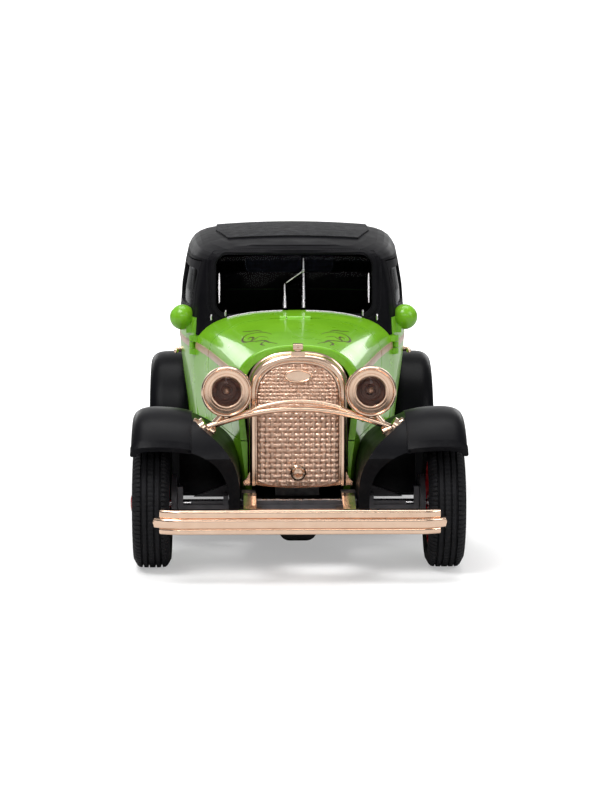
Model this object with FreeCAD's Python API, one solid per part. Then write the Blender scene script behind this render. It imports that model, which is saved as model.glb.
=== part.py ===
import FreeCAD, Part
import math
import os

# Diecast model of a 1930s closed car, about 1:28.  Millimetres.
# The car faces -Y, its left side is +X, +Z is up.  Heights are drawn from a
# datum plane just under the ground; every piece is moved down by GROUND_Z when
# it is written, so that the ground is z = 0 and the origin lies on it, under
# the middle of the car.

V = FreeCAD.Vector
X_AXIS, Y_AXIS, Z_AXIS = V(1, 0, 0), V(0, 1, 0), V(0, 0, 1)
LEFT, RIGHT = 1, -1
SIDES = {"left": LEFT, "right": RIGHT}

# ---- overall ----------------------------------------------------------------
GROUND_Z = 1.0
FRONT_AXLE_Y = -55.0
REAR_AXLE_Y = 39.0

# ---- wheels -----------------------------------------------------------------
TYRE_R = 12.0
TYRE_IN, TYRE_OUT = 23.8, 30.7
RIM_R = 8.3
HUB_R = 2.6
AXLE_R = 0.75
AXLE_BORE_R = 0.83
AXLE_END = 28.9
AXLE_Z = GROUND_Z + TYRE_R
SPOKES = 16
SPARE_Y, SPARE_Z = 69.0, 29.0

# ---- body -------------------------------------------------------------------
WALL = 1.2
GAP = 0.25
SILL_Z = 13.6
BELT_Z = 36.7
WAIST_Z = 43.0
HOOD_FRONT_Y, HOOD_REAR_Y = -49.3, -18.0
COWL_REAR_Y = -5.6
DOOR_FRONT_Y, DOOR_REAR_Y = -5.2, 19.8
DOOR_BOTTOM_Z, DOOR_TOP_Z = 15.6, 54.2
HOOD_BOTTOM_Z = 24.0
FIREWALL_Y = -16.4
# half width of the body at the belt, station by station along the car
BELT_HALF_WIDTH = [(-49.3, 11.4), (-34.0, 14.3), (-18.0, 17.3), (-6.0, 20.3), (0.0, 21.8),
                   (10.0, 23.3), (22.0, 24.0), (40.0, 23.9), (52.0, 22.9)]
# crown of the hood and cowl: station, height of the crown, height of the shoulder foot
CROWN = [(-49.3, 41.7, 33.2), (-34.0, 43.0, 34.8), (-18.0, 44.1, 36.2), (COWL_REAR_Y, 44.6, 36.9)]
SHOULDER_POWER = 2.5
# height, how far the side leans in there, and how much more it does along the cab
SIDE_LEAN = [(SILL_Z, 1.5, 0.8), (25.0, 0.5, 0.8), (BELT_Z, 0.0, 0.0), (WAIST_Z, 0.15, 0.0)]
CAB_LEAN_RUN = 16.0
LOUVRES, LOUVRE_R, LOUVRE_FIRST_Y, LOUVRE_PITCH = 10, 0.5, -42.0, 2.1

# ---- hinges -----------------------------------------------------------------
HOOD_GAP = 0.2
HINGE_Z = 43.75
KNUCKLE_R, PIN_R = 0.75, 0.35
KNUCKLE_END, BARREL_END = 1.6, 3.1
DOOR_PIN_OUT = 0.35
DOOR_PIN_Y = DOOR_FRONT_Y - GAP / 2
DOOR_HINGE_ZS = (20.5, 37.4)
DOOR_LEAF = 1.3
DOOR_BARREL_R = 0.6

# ---- roof -------------------------------------------------------------------
# The roof's top is a shallow cap, curved along and across the car.
CAP_PEAK_Y, CAP_PEAK_Z = 27.0, 60.0
CAP_R_FRONT, CAP_R_BACK, CAP_R_ACROSS = 190.0, 140.0, 200.0
# height, lean of the sides, y of the front, y of the back, share of the cap's
# shape, depth under the cap
ROOF = [(39.5, 0.15, -7.7, 63.9, 0.0, 0.0), (WAIST_Z, 0.15, -7.2, 63.6, 0.0, 0.0),
        (48.0, 0.5, -6.3, 63.2, 0.0, 0.0), (52.6, 1.25, -5.5, 62.4, 0.1, 6.2),
        (55.6, 1.9, -5.2, 61.4, 0.4, 3.1), (56.8, 2.5, -5.05, 60.8, 0.6, 2.05),
        (57.7, 3.2, -4.85, 60.1, 0.8, 1.25), (58.4, 4.2, -4.5, 59.2, 1.0, 0.65),
        (58.9, 5.6, -3.9, 57.9, 1.0, 0.25), (59.3, 7.4, -2.9, 56.0, 1.0, 0.06),
        (59.6, 9.8, -0.8, 53.2, 1.0, -0.25), (61.4, 11.5, 3.0, 49.0, 0.0, 0.0)]
ROOF_WALL = 1.3
INSERT_RISE = 0.35
WINDOW_LOW_Z, WINDOW_HIGH_Z = 45.0, 52.7
DOOR_WINDOW_Y = (-1.9, DOOR_REAR_Y - 2.2)
QUARTER_WINDOW_Y = (24.0, 45.0)
WINDOW_CORNER_R = 1.6
SCREEN = (-15.9, 15.9, 43.8, 55.8)
SCREEN_CORNER_R = 2.4
BACK_WINDOW = (-10.0, 10.0, 46.5, 53.8)
BACK_CORNER_R = 1.8
GLASS_INSET, GLASS_THICK, GLASS_GAP = 0.45, 0.5, 0.05

# ---- fenders ----------------------------------------------------------------
CROWN_R = 18.1
SHEET = 1.1
LIP_ANGLE, TAIL_ANGLE, TAIL_RUN = 137.0, 40.0, 19.0
FENDER_OUT = 30.8
FENDER_IN = 19.8
WELL_R = 17.0
BOARD_Z, BOARD_THICK = 12.2, 1.4
BOARD_OUT = 30.4
RAIL_IN, RAIL_OUT = 10.0, 12.5

# ---- chassis ----------------------------------------------------------------
CHASSIS_TOP = 12.5
POST_X, POST_FRONT_Y, POST_REAR_Y, POST_R = 8.0, -13.6, 57.5, 1.7
SCREW_R = 0.7
STAND_FACE_Z = 7.6
STAND_HOLE_R, STAND_HOLE_YS = 1.3, (-16.0, 24.0)
FLOOR_Z = 16.4

# ---- front ------------------------------------------------------------------
RADIATOR_FRONT_Y = -53.0
LAMP_X, LAMP_Y, LAMP_Z = 13.3, -61.2, 34.7
BUMPER_Y = -75.0
BUMPER_STRAIGHT, BUMPER_BEND = 21.5, 8.0
# the three stacked bumper bars: bottom, top, set back, and turn of the curved end
BUMPER_BARS = [(10.45, 11.7, 0.35, 30.8), (11.6, 13.4, 0.0, 38.0), (13.3, 14.9, 0.4, 30.8)]


# ---- small helpers --------------------------------------------------------
def box(x0, x1, y0, y1, z0, z1):
    """A box between two corners, given in any order."""
    lo = V(min(x0, x1), min(y0, y1), min(z0, z1))
    hi = V(max(x0, x1), max(y0, y1), max(z0, z1))
    size = hi - lo
    return Part.makeBox(size.x, size.y, size.z, lo)


def rod(start, end, radius):
    """A round bar between two points."""
    along = end - start
    return Part.makeCylinder(radius, along.Length, start, along)


def prism(points, direction):
    """A flat outline pushed along a direction."""
    outline = Part.makePolygon(list(points) + [points[0]])
    return Part.Face(outline).extrude(direction)


def side_prism(outline_yz, x0, x1):
    """A prism across the car: an outline of (y, z) points between two x."""
    return prism([V(x0, y, z) for y, z in outline_yz], V(x1 - x0, 0, 0))


def front_prism(outline_xz, y0, y1):
    """A prism along the car: an outline of (x, z) points between two y."""
    return prism([V(x, y0, z) for x, z in outline_xz], V(0, y1 - y0, 0))


def turned(outline, centre, axis, zero):
    """A solid of revolution from (radius, along) points about an axis."""
    points = [centre + zero * r + axis * a for r, a in outline]
    face = Part.Face(Part.makePolygon(points + [points[0]]))
    return face.revolve(centre, axis, 360)


def fused(shapes):
    """One solid from several that touch or overlap."""
    shapes = list(shapes)
    return shapes[0].multiFuse(shapes[1:]).removeSplitter()


def group(shapes):
    return Part.makeCompound(list(shapes))


def mirrored(shape):
    """The same shape on the other side of the car."""
    return shape.mirror(V(0, 0, 0), X_AXIS)


def on_side(shape, side):
    return shape if side == LEFT else mirrored(shape)


def spline(points):
    curve = Part.BSplineCurve()
    curve.interpolate(points)
    return curve.toShape()


def closed_spline(points):
    curve = Part.BSplineCurve()
    curve.interpolate(points, PeriodicFlag=True)
    return Part.Wire([curve.toShape()])


def between(table, at):
    """Straight-line interpolation in a table whose first column is the key."""
    for low, high in zip(table, table[1:]):
        if at <= high[0]:
            break
    share = (at - low[0]) / (high[0] - low[0])
    share = max(0.0, min(1.0, share))
    return [a + (b - a) * share for a, b in zip(low[1:], high[1:])]


def half_width(y):
    return between(BELT_HALF_WIDTH, y)[0]


def rounded_prism(x0, x1, z0, z1, radius, y0, y1):
    """A slab with rounded corners, seen from the front."""
    slab = box(x0, x1, y0, y1, z0, z1)
    edges = [e for e in slab.Edges if abs(e.tangentAt(e.FirstParameter).y) > 0.99]
    return slab.makeFillet(radius, edges)


def rounded_side_prism(y0, y1, z0, z1, radius, x0, x1):
    """A slab with rounded corners, seen from the side."""
    slab = box(x0, x1, y0, y1, z0, z1)
    edges = [e for e in slab.Edges if abs(e.tangentAt(e.FirstParameter).x) > 0.99]
    return slab.makeFillet(radius, edges)


# ---- the lower body -------------------------------------------------------
def arch_section(y, inset):
    """Hood or cowl section: sides up to the shoulder foot, then a rounded crown."""
    top, foot = between(CROWN, y)
    width = half_width(y) - inset
    sides = [(width - lean, z) for z, lean, _ in SIDE_LEAN[:2]]
    rise = top - inset - foot
    crown = []
    for step in range(7):
        turn = math.radians(90.0 * step / 6)
        across = math.cos(turn) ** (2 / SHOULDER_POWER)
        up = math.sin(turn) ** (2 / SHOULDER_POWER)
        crown.append((width * across, foot + rise * up))
    right = sides + crown
    points = [V(x, y, z) for x, z in right] + [V(-x, y, z) for x, z in reversed(right[:-1])]
    return Part.Wire([spline(points), Part.makeLine(points[-1], points[0])])


def front_body(inset=0.0):
    """Solid inside the hood and cowl skin."""
    return Part.makeLoft([arch_section(y, inset) for y, _, _ in CROWN], True, False)


def cab_outline(z, lean, extra, inset):
    """Plan of the cab at one height, from the cowl round the back."""
    side = []
    for y in (-6.0, 0.0, 10.0, 22.0, 40.0, 52.0):
        share = min(1.0, (y + 6.0) / CAB_LEAN_RUN)
        side.append((half_width(y) - lean - extra * share - inset, y))
    narrower = lean + extra + inset
    back = [(20.8 - narrower, 59.6 - inset), (15.0 - narrower, 63.0 - inset), (0.0, 64.0 - inset)]
    right = side + back
    points = [V(x, y, z) for x, y in right] + [V(-x, y, z) for x, y in reversed(right[:-1])]
    return Part.Wire([spline(points), Part.makeLine(points[-1], points[0])])


def cab_body(inset=0.0):
    """Solid inside the cab skin, up to the waist."""
    return Part.makeLoft([cab_outline(z, lean, extra, inset) for z, lean, extra in SIDE_LEAN], True, False)


def door_zone(grow, z0, z1):
    """The space of the left door in the lower body, grown by a gap."""
    return box(10, 30, DOOR_FRONT_Y - grow, DOOR_REAR_Y + grow, z0 - grow, z1)


def door_frame_outline(grow):
    """The door's window frame seen from the side: its front edge leans back."""
    return [(-4.6 - grow, WAIST_Z - 4), (-2.3 - grow, DOOR_TOP_Z + grow),
            (DOOR_REAR_Y + grow, DOOR_TOP_Z + grow), (DOOR_REAR_Y + grow, WAIST_Z - 4)]


# ---- the roof ---------------------------------------------------------------
def cap_z(x, y):
    """Height of the roof's cap over a point of the plan."""
    along = CAP_R_FRONT if y < CAP_PEAK_Y else CAP_R_BACK
    return CAP_PEAK_Z - x ** 2 / (2 * CAP_R_ACROSS) - (y - CAP_PEAK_Y) ** 2 / (2 * along)


def cap_solid(lift):
    """Solid under the cap: an arc across the car, swung to the front and to the back."""
    reach, depth, top = 28.0, 30.0, CAP_PEAK_Z + lift
    edge_z = top - reach ** 2 / (2 * CAP_R_ACROSS)
    left, right = V(-reach, CAP_PEAK_Y, edge_z), V(reach, CAP_PEAK_Y, edge_z)
    low_left, low_right = V(-reach, CAP_PEAK_Y, top - depth), V(reach, CAP_PEAK_Y, top - depth)
    crown = Part.Arc(left, V(0, CAP_PEAK_Y, top), right).toShape()
    face = Part.Face(Part.Wire([crown, Part.makeLine(right, low_right), Part.makeLine(low_right, low_left),
                                Part.makeLine(low_left, left)]))
    front = face.revolve(V(0, CAP_PEAK_Y, top - CAP_R_FRONT), X_AXIS, 14.0)
    back = face.revolve(V(0, CAP_PEAK_Y, top - CAP_R_BACK), X_AXIS, -20.0)
    return fused([front, back])


def roof_outline(level, inset):
    """Outline of the greenhouse round one level, following the cap by its share."""
    z, lean, front, back, share, depth = level
    narrower = lean + inset
    y0, y1 = front + inset, back - inset
    corner = half_width(-6.0) - narrower
    half = [(0.0, y0), (0.45 * corner, y0), (0.8 * corner, y0 + 0.05), (corner - 0.9, y0 + 0.55),
            (corner - 0.1, y0 + 1.9)]
    for share_back in (0.1, 0.25, 0.42, 0.62, 0.82):
        y = y0 + share_back * (y1 - y0)
        half.append((half_width(y) - narrower, y))
    half += [(20.8 - narrower, y1 - 4.4), (15.0 - narrower, y1 - 1.0), (0.0, y1)]
    flat = z if z <= WAIST_Z else z - inset * (z - WAIST_Z) / (ROOF[-1][0] - WAIST_Z)
    heights = [(1 - share) * flat + share * (cap_z(x, y) - depth - inset) for x, y in half]
    around = [V(x, y, h) for (x, y), h in zip(half, heights)]
    around += [V(-p.x, p.y, p.z) for p in reversed(around[1:-1])]
    return closed_spline(around)


def greenhouse(inset=0.0):
    """Solid inside the roof skin; its cap drops by the inset as well."""
    walls = Part.makeLoft([roof_outline(level, inset) for level in ROOF], True, True)
    return walls.common(cap_solid(-inset))


# ---- body, hood and doors ---------------------------------------------------
def hood():
    """Hood top and sides with louvres, and the knuckle of its hinge."""
    zone = box(-30, 30, HOOD_FRONT_Y - 1, HOOD_REAR_Y - HOOD_GAP, HOOD_BOTTOM_Z, 60)
    panel = FRONT_OUTER.cut(FRONT_INNER).common(zone)
    louvres = []
    for side in (LEFT, RIGHT):
        for step in range(LOUVRES):
            y = LOUVRE_FIRST_Y + LOUVRE_PITCH * step
            x = half_width(y) - LOUVRE_R
            louvres.append(rod(V(side * (x - 0.3), y, 26.4), V(side * (x + 0.15), y, 33.4), LOUVRE_R))
    end = V(KNUCKLE_END, HOOD_REAR_Y, HINGE_Z)
    knuckle = rod(V(-end.x, end.y, end.z), end, KNUCKLE_R)
    arm = box(-end.x, end.x, HOOD_REAR_Y - 1.4, HOOD_REAR_Y, HINGE_Z - KNUCKLE_R, HINGE_Z - 0.1)
    bore = rod(V(-3, HOOD_REAR_Y, HINGE_Z), V(3, HOOD_REAR_Y, HINGE_Z), PIN_R + 0.06)
    for side in (LEFT, RIGHT):
        start = V(side * (KNUCKLE_END + 0.05), HOOD_REAR_Y, HINGE_Z)
        relief = rod(start, V(side * (BARREL_END + 0.2), HOOD_REAR_Y, HINGE_Z), KNUCKLE_R + 0.15)
        panel = panel.cut(relief)
    return fused([panel, knuckle, arm] + louvres).cut(bore)


def body_shell():
    """Cowl, sills, lower cab and the low panels beside the engine, cast in one."""
    shell_front = FRONT_OUTER.cut(FRONT_INNER)
    cowl = shell_front.common(box(-30, 30, HOOD_REAR_Y + HOOD_GAP, COWL_REAR_Y, 0, 60))
    aprons = shell_front.common(box(-30, 30, HOOD_FRONT_Y, -17, SILL_Z, HOOD_BOTTOM_Z - HOOD_GAP))
    firewall = FRONT_OUTER.common(box(-30, 30, FIREWALL_Y - 1.2, FIREWALL_Y, SILL_Z, 42.5))
    firewall = firewall.common(front_body(0.6))
    post_b = FRONT_INNER.common(box(-30, 30, COWL_REAR_Y - 1.2, COWL_REAR_Y, SILL_Z, 40.0))
    post_b = post_b.cut(box(-18.4, 18.4, -10, 0, 0, 50))
    cab = CAB_OUTER.cut(CAB_INNER).common(box(-30, 30, COWL_REAR_Y - 0.01, 70, SILL_Z, WAIST_Z - 0.05))
    sill = cab_body(0.4).cut(cab_body(3.2)).common(box(-30, 30, -5.7, 60, SILL_Z, DOOR_BOTTOM_Z - GAP))
    cross = cab_body(0.6).common(box(-30, 30, 55.6, 59.6, SILL_Z, SILL_Z + 1.6))
    parts = [cowl, aprons, firewall, post_b, cab, sill, cross]
    for side in (LEFT, RIGHT):
        for y in (POST_FRONT_Y, POST_REAR_Y):
            foot = V(side * POST_X, y, CHASSIS_TOP)
            parts.append(rod(foot, foot + V(0, 0, 6.5), POST_R))
        web = (POST_X - 0.8, POST_X + 0.8)
        parts.append(box(side * web[0], side * web[1], FIREWALL_Y - 0.2, POST_FRONT_Y, SILL_Z, 18.5))
    shell = fused(parts)
    zone = door_zone(GAP, DOOR_BOTTOM_Z, 50)
    shell = shell.cut(fused([zone, mirrored(zone)]))
    for side in (LEFT, RIGHT):
        for y in (POST_FRONT_Y, POST_REAR_Y):
            shell = shell.cut(rod(V(side * POST_X, y, 10), V(side * POST_X, y, 17.5), SCREW_R))
    brackets = []
    for side in (LEFT, RIGHT):
        start = side * (KNUCKLE_END + 0.2)
        barrel = rod(V(start, HOOD_REAR_Y, HINGE_Z), V(side * BARREL_END, HOOD_REAR_Y, HINGE_Z), KNUCKLE_R)
        tab = box(start, side * BARREL_END, HOOD_REAR_Y, HOOD_REAR_Y + 1.6, HINGE_Z - KNUCKLE_R, HINGE_Z - 0.1)
        relief = rod(V(0, HOOD_REAR_Y, HINGE_Z), V(start, HOOD_REAR_Y, HINGE_Z), KNUCKLE_R + 0.15)
        brackets.append(fused([barrel, tab]))
        shell = shell.cut(relief)
        for z in DOOR_HINGE_ZS:
            shell = shell.cut(barrel_relief(side, z))
            for step in (-1, 1):
                brackets.append(door_knuckle(side, z + step * DOOR_LEAF, -1))
    pin_bore = rod(V(-5, HOOD_REAR_Y, HINGE_Z), V(5, HOOD_REAR_Y, HINGE_Z), PIN_R)
    axle_notch = rod(V(-30, REAR_AXLE_Y, AXLE_Z), V(30, REAR_AXLE_Y, AXLE_Z), 1.85)
    return fused([shell] + brackets).cut(pin_bore).cut(axle_notch)


def door_pin_x():
    return half_width(DOOR_FRONT_Y) + DOOR_PIN_OUT


def barrel_relief(side, z):
    """Room for one hinge barrel of the other panel."""
    foot = V(side * door_pin_x(), DOOR_PIN_Y, z - DOOR_LEAF / 2 - 0.02)
    return rod(foot, foot + V(0, 0, DOOR_LEAF + 0.04), DOOR_BARREL_R + 0.15)


def door_knuckle(side, z, towards):
    """One barrel of a door hinge with the leaf that joins it to its panel."""
    x, y = side * door_pin_x(), DOOR_PIN_Y
    barrel = rod(V(x, y, z - DOOR_LEAF / 2 + 0.05), V(x, y, z + DOOR_LEAF / 2 - 0.05), DOOR_BARREL_R)
    leaf = box(x - side * 1.8, x - side * 0.1, y, y + towards * 1.6, z - 0.6, z + 0.6)
    bore = rod(V(x, y, z - 1), V(x, y, z + 1), 0.3)
    return fused([barrel, leaf]).cut(bore)


def door_panel(side):
    """The painted lower half of a door, with its hinge barrels."""
    zone = door_zone(0, DOOR_BOTTOM_Z, WAIST_Z - 0.05)
    panel = CAB_OUTER.cut(CAB_INNER).common(zone)
    rim = CAB_OUTER.cut(cab_body(2.2)).common(zone)
    rim = rim.cut(box(0, 30, DOOR_FRONT_Y + 2, DOOR_REAR_Y - 2, DOOR_BOTTOM_Z + 2, WAIST_Z - 2))
    panel = on_side(fused([panel, rim]), side)
    for z in DOOR_HINGE_ZS:
        for step in (-1, 1):
            panel = panel.cut(barrel_relief(side, z + step * DOOR_LEAF))
    return fused([panel] + [door_knuckle(side, z, 1) for z in DOOR_HINGE_ZS])


def door_window(shrink):
    y0, y1 = DOOR_WINDOW_Y
    return rounded_side_prism(y0 + shrink, y1 - shrink, WINDOW_LOW_Z + shrink, WINDOW_HIGH_Z - shrink,
                              WINDOW_CORNER_R, 5, 35)


def quarter_window(shrink):
    y0, y1 = QUARTER_WINDOW_Y
    return rounded_side_prism(y0 + shrink, y1 - shrink, WINDOW_LOW_Z + shrink, WINDOW_HIGH_Z - shrink,
                              WINDOW_CORNER_R, 5, 35)


def back_window(shrink):
    x0, x1, z0, z1 = BACK_WINDOW
    return rounded_prism(x0 + shrink, x1 - shrink, z0 + shrink, z1 - shrink, BACK_CORNER_R, 50, 80)


def screen_opening(shrink):
    x0, x1, z0, z1 = SCREEN
    return rounded_prism(x0 + shrink, x1 - shrink, z0 + shrink, z1 - shrink, SCREEN_CORNER_R, -20, 2)


def door_frame(side):
    """The black window frame on top of a door."""
    zone = side_prism(door_frame_outline(0), 10, 30).common(box(0, 40, -20, 60, WAIST_Z, 60))
    frame = ROOF_OUTER.cut(ROOF_INNER).common(zone)
    return on_side(frame.cut(door_window(0)), side)


def roof_shell():
    """Pillars, windscreen frame and roof in one black casting."""
    shell = ROOF_OUTER.cut(ROOF_INNER)
    shell = shell.cut(box(-40, 40, COWL_REAR_Y - 0.08, 80, 0, WAIST_Z))
    door_hole = side_prism(door_frame_outline(GAP), 10, 40)
    quarter = quarter_window(0)
    for hole in (door_hole, mirrored(door_hole), quarter, mirrored(quarter), screen_opening(0), back_window(0)):
        shell = shell.cut(hole)
    return biggest(shell.cut(FRONT_OUTER).cut(FRONT_INNER))


def roof_insert():
    """The raised fabric panel in the roof, its front corners cut off."""
    half = [(0.0, 5.0), (13.5, 5.0), (16.2, 17.0), (16.2, 46.5), (14.0, 50.0), (0.0, 50.0)]
    plan = [V(x, y, 50) for x, y in half] + [V(-x, y, 50) for x, y in reversed(half[1:-1])]
    return cap_solid(INSERT_RISE).common(prism(plan, V(0, 0, 15))).cut(ROOF_OUTER)


def windscreen():
    return GLASS_LAYER.common(screen_opening(GLASS_GAP)).cut(FRONT_OUTER)


def door_glass(side):
    return on_side(GLASS_LAYER.common(door_window(GLASS_GAP)), side)


def rear_windows():
    """Panes of the two quarter windows and the back window."""
    quarter = GLASS_LAYER.common(quarter_window(GLASS_GAP))
    return group([quarter, mirrored(quarter), GLASS_LAYER.common(back_window(GLASS_GAP))])


# ---- chassis, fenders and underside ------------------------------------------
def beam_notch():
    """Room for the front axle beam."""
    return box(-30, 30, FRONT_AXLE_Y - 3.45, FRONT_AXLE_Y - 2.15, 11.95, 13.95)


def chassis():
    """Floor plate with frame rails, oil pan, axle bearings and stand holes."""
    plate = box(-11, 11, -56, 66, 11.0, CHASSIS_TOP)
    rails = [box(s * RAIL_IN, s * RAIL_OUT, -61, 67, 9.6, 13.0) for s in (LEFT, RIGHT)]
    pan = box(-3.6, 3.6, -52, -34, 4.8, 11.5)
    pan = pan.makeFillet(2.6, [e for e in pan.Edges if e.CenterOfMass.z < 5.5])
    gearbox = box(-3.0, 3.0, -34, -22, 8.0, 11.5)
    tunnel = rod(V(0, -22, 10.6), V(0, 33, 10.6), 1.1)
    diff = Part.makeSphere(3.1, V(0, REAR_AXLE_Y, 12.1)).common(box(-9, 9, 20, 60, 7, 17))
    housing = rod(V(-22.5, REAR_AXLE_Y, AXLE_Z), V(22.5, REAR_AXLE_Y, AXLE_Z), 1.7)
    blocks = [box(s * 8.0, s * 10.7, FRONT_AXLE_Y - 2, FRONT_AXLE_Y + 2, 10, 15.2) for s in (LEFT, RIGHT)]
    arms = [box(s * 12.0, s * 19.5, y - 1.2, y + 1.2, 9.8, BOARD_Z - BOARD_THICK - 0.05)
            for s in (LEFT, RIGHT) for y in (-20.0, 0.0, 16.0)]
    bosses = [rod(V(0, y, STAND_FACE_Z), V(0, y, CHASSIS_TOP), 2.6) for y in STAND_HOLE_YS]
    shape = fused([plate, pan, gearbox, tunnel, diff, housing] + rails + blocks + arms + bosses)
    for y in (FRONT_AXLE_Y, REAR_AXLE_Y):
        shape = shape.cut(rod(V(-30, y, AXLE_Z), V(30, y, AXLE_Z), AXLE_BORE_R))
    shape = shape.cut(beam_notch())
    for y in STAND_HOLE_YS:
        shape = shape.cut(rod(V(0, y, 0), V(0, y, 12.0), STAND_HOLE_R))
    for s in (LEFT, RIGHT):
        for y in (POST_FRONT_Y, POST_REAR_Y):
            shape = shape.cut(rod(V(s * POST_X, y, 0), V(s * POST_X, y, 15), SCREW_R + 0.1))
            shape = shape.cut(rod(V(s * POST_X, y, 0), V(s * POST_X, y, 11.5), 1.5))
    return shape


def chassis_screws():
    """Four screws that hold the body on the chassis."""
    screws = []
    for s in (LEFT, RIGHT):
        for y in (POST_FRONT_Y, POST_REAR_Y):
            head = rod(V(s * POST_X, y, 10.7), V(s * POST_X, y, 11.5), 1.35)
            shank = rod(V(s * POST_X, y, 11.4), V(s * POST_X, y, 17.0), SCREW_R)
            slot = box(s * POST_X - 1.0, s * POST_X + 1.0, y - 0.2, y + 0.2, 10.6, 11.05)
            cross = box(s * POST_X - 0.2, s * POST_X + 0.2, y - 1.0, y + 1.0, 10.6, 11.05)
            screws.append(fused([head, shank]).cut(slot).cut(cross))
    return group(screws)


def fender_band(inner_x, grow=0.0):
    """Sheet section of a fender as (x, radius) points about the wheel's centre."""
    edge = FENDER_OUT
    top = [(edge, 15.3), (edge - 0.05, 16.1), (edge - 0.65, 17.2), (edge - 2.3, 17.95), (25.6, CROWN_R),
           (22.6, 17.85), (inner_x, 17.25)]
    under = [(inner_x, 17.25 - SHEET), (22.6, 17.85 - SHEET), (25.6, CROWN_R - SHEET),
             (edge - 2.5, 17.95 - SHEET), (edge - 1.5, 16.4), (edge - 1.05, 15.9), (edge - 1.0, 15.3)]
    if grow:
        top = [(x + (0.1 if x > edge - 1 else 0), r + grow) for x, r in top]
    return top, under


def fender_face(axle_y, angle, inner_x, grow=0.0):
    """The section standing on a radius, at an angle above the horizontal rear."""
    out = V(0, math.cos(math.radians(angle)), math.sin(math.radians(angle)))
    hub = V(0, axle_y, AXLE_Z)
    top, under = [[hub + out * r + X_AXIS * x for x, r in band] for band in fender_band(inner_x, grow)]
    ends = [Part.makeLine(top[-1], under[0]), Part.makeLine(under[-1], top[0])]
    return Part.Face(Part.Wire([spline(top), ends[0], spline(under), ends[1]]))


def fender_arc(axle_y, first, last, inner_x, grow=0.0):
    """The crown of a fender, turned about the wheel's centre."""
    face = fender_face(axle_y, first, inner_x, grow)
    return face.revolve(V(0, axle_y, AXLE_Z), X_AXIS, last - first)


def fender(side):
    """Front fender, running board and rear fender of one side, cast in one."""
    crown = fender_arc(FRONT_AXLE_Y, TAIL_ANGLE, LIP_ANGLE, FENDER_IN)
    lip = fender_arc(FRONT_AXLE_Y, LIP_ANGLE - 5.0, LIP_ANGLE, FENDER_IN, 0.3)
    slope = V(0, math.sin(math.radians(TAIL_ANGLE)), -math.cos(math.radians(TAIL_ANGLE)))
    tail = fender_face(FRONT_AXLE_Y, TAIL_ANGLE, FENDER_IN).extrude(slope * TAIL_RUN)
    tail = tail.cut(box(0, 40, -60, 0, -5, BOARD_Z - BOARD_THICK))
    board = box(RAIL_OUT + 0.1, BOARD_OUT, -33.5, 22.5, BOARD_Z - BOARD_THICK, BOARD_Z)
    rear = fender_arc(REAR_AXLE_Y, -12.0, 180.0, 22.0)
    rear = rear.cut(box(0, 40, 0, 30, -5, BOARD_Z - BOARD_THICK))
    rear_wall = wheelhouse_wall(REAR_AXLE_Y)
    shape = fused([crown, lip, tail, board, rear, rear_wall, apron()])
    shape = shape.cut(front_body(-0.12)).cut(cab_body(-0.12))
    shape = shape.cut(rod(V(0, FRONT_AXLE_Y, AXLE_Z), V(30, FRONT_AXLE_Y, AXLE_Z), 1.3))
    shape = shape.cut(beam_notch())
    return on_side(biggest(shape), side)


def wheelhouse_wall(axle_y):
    """Flat inner wall of the rear fender, against the body."""
    disc = rod(V(22.0, axle_y, AXLE_Z), V(23.0, axle_y, AXLE_Z), 17.4)
    disc = disc.cut(rod(V(20, axle_y, AXLE_Z), V(26, axle_y, AXLE_Z), 14.6))
    return disc.common(box(0, 40, -60, 90, BOARD_Z - BOARD_THICK, 60))


def biggest(shape):
    return max(shape.Solids, key=lambda s: s.Volume)


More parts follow.
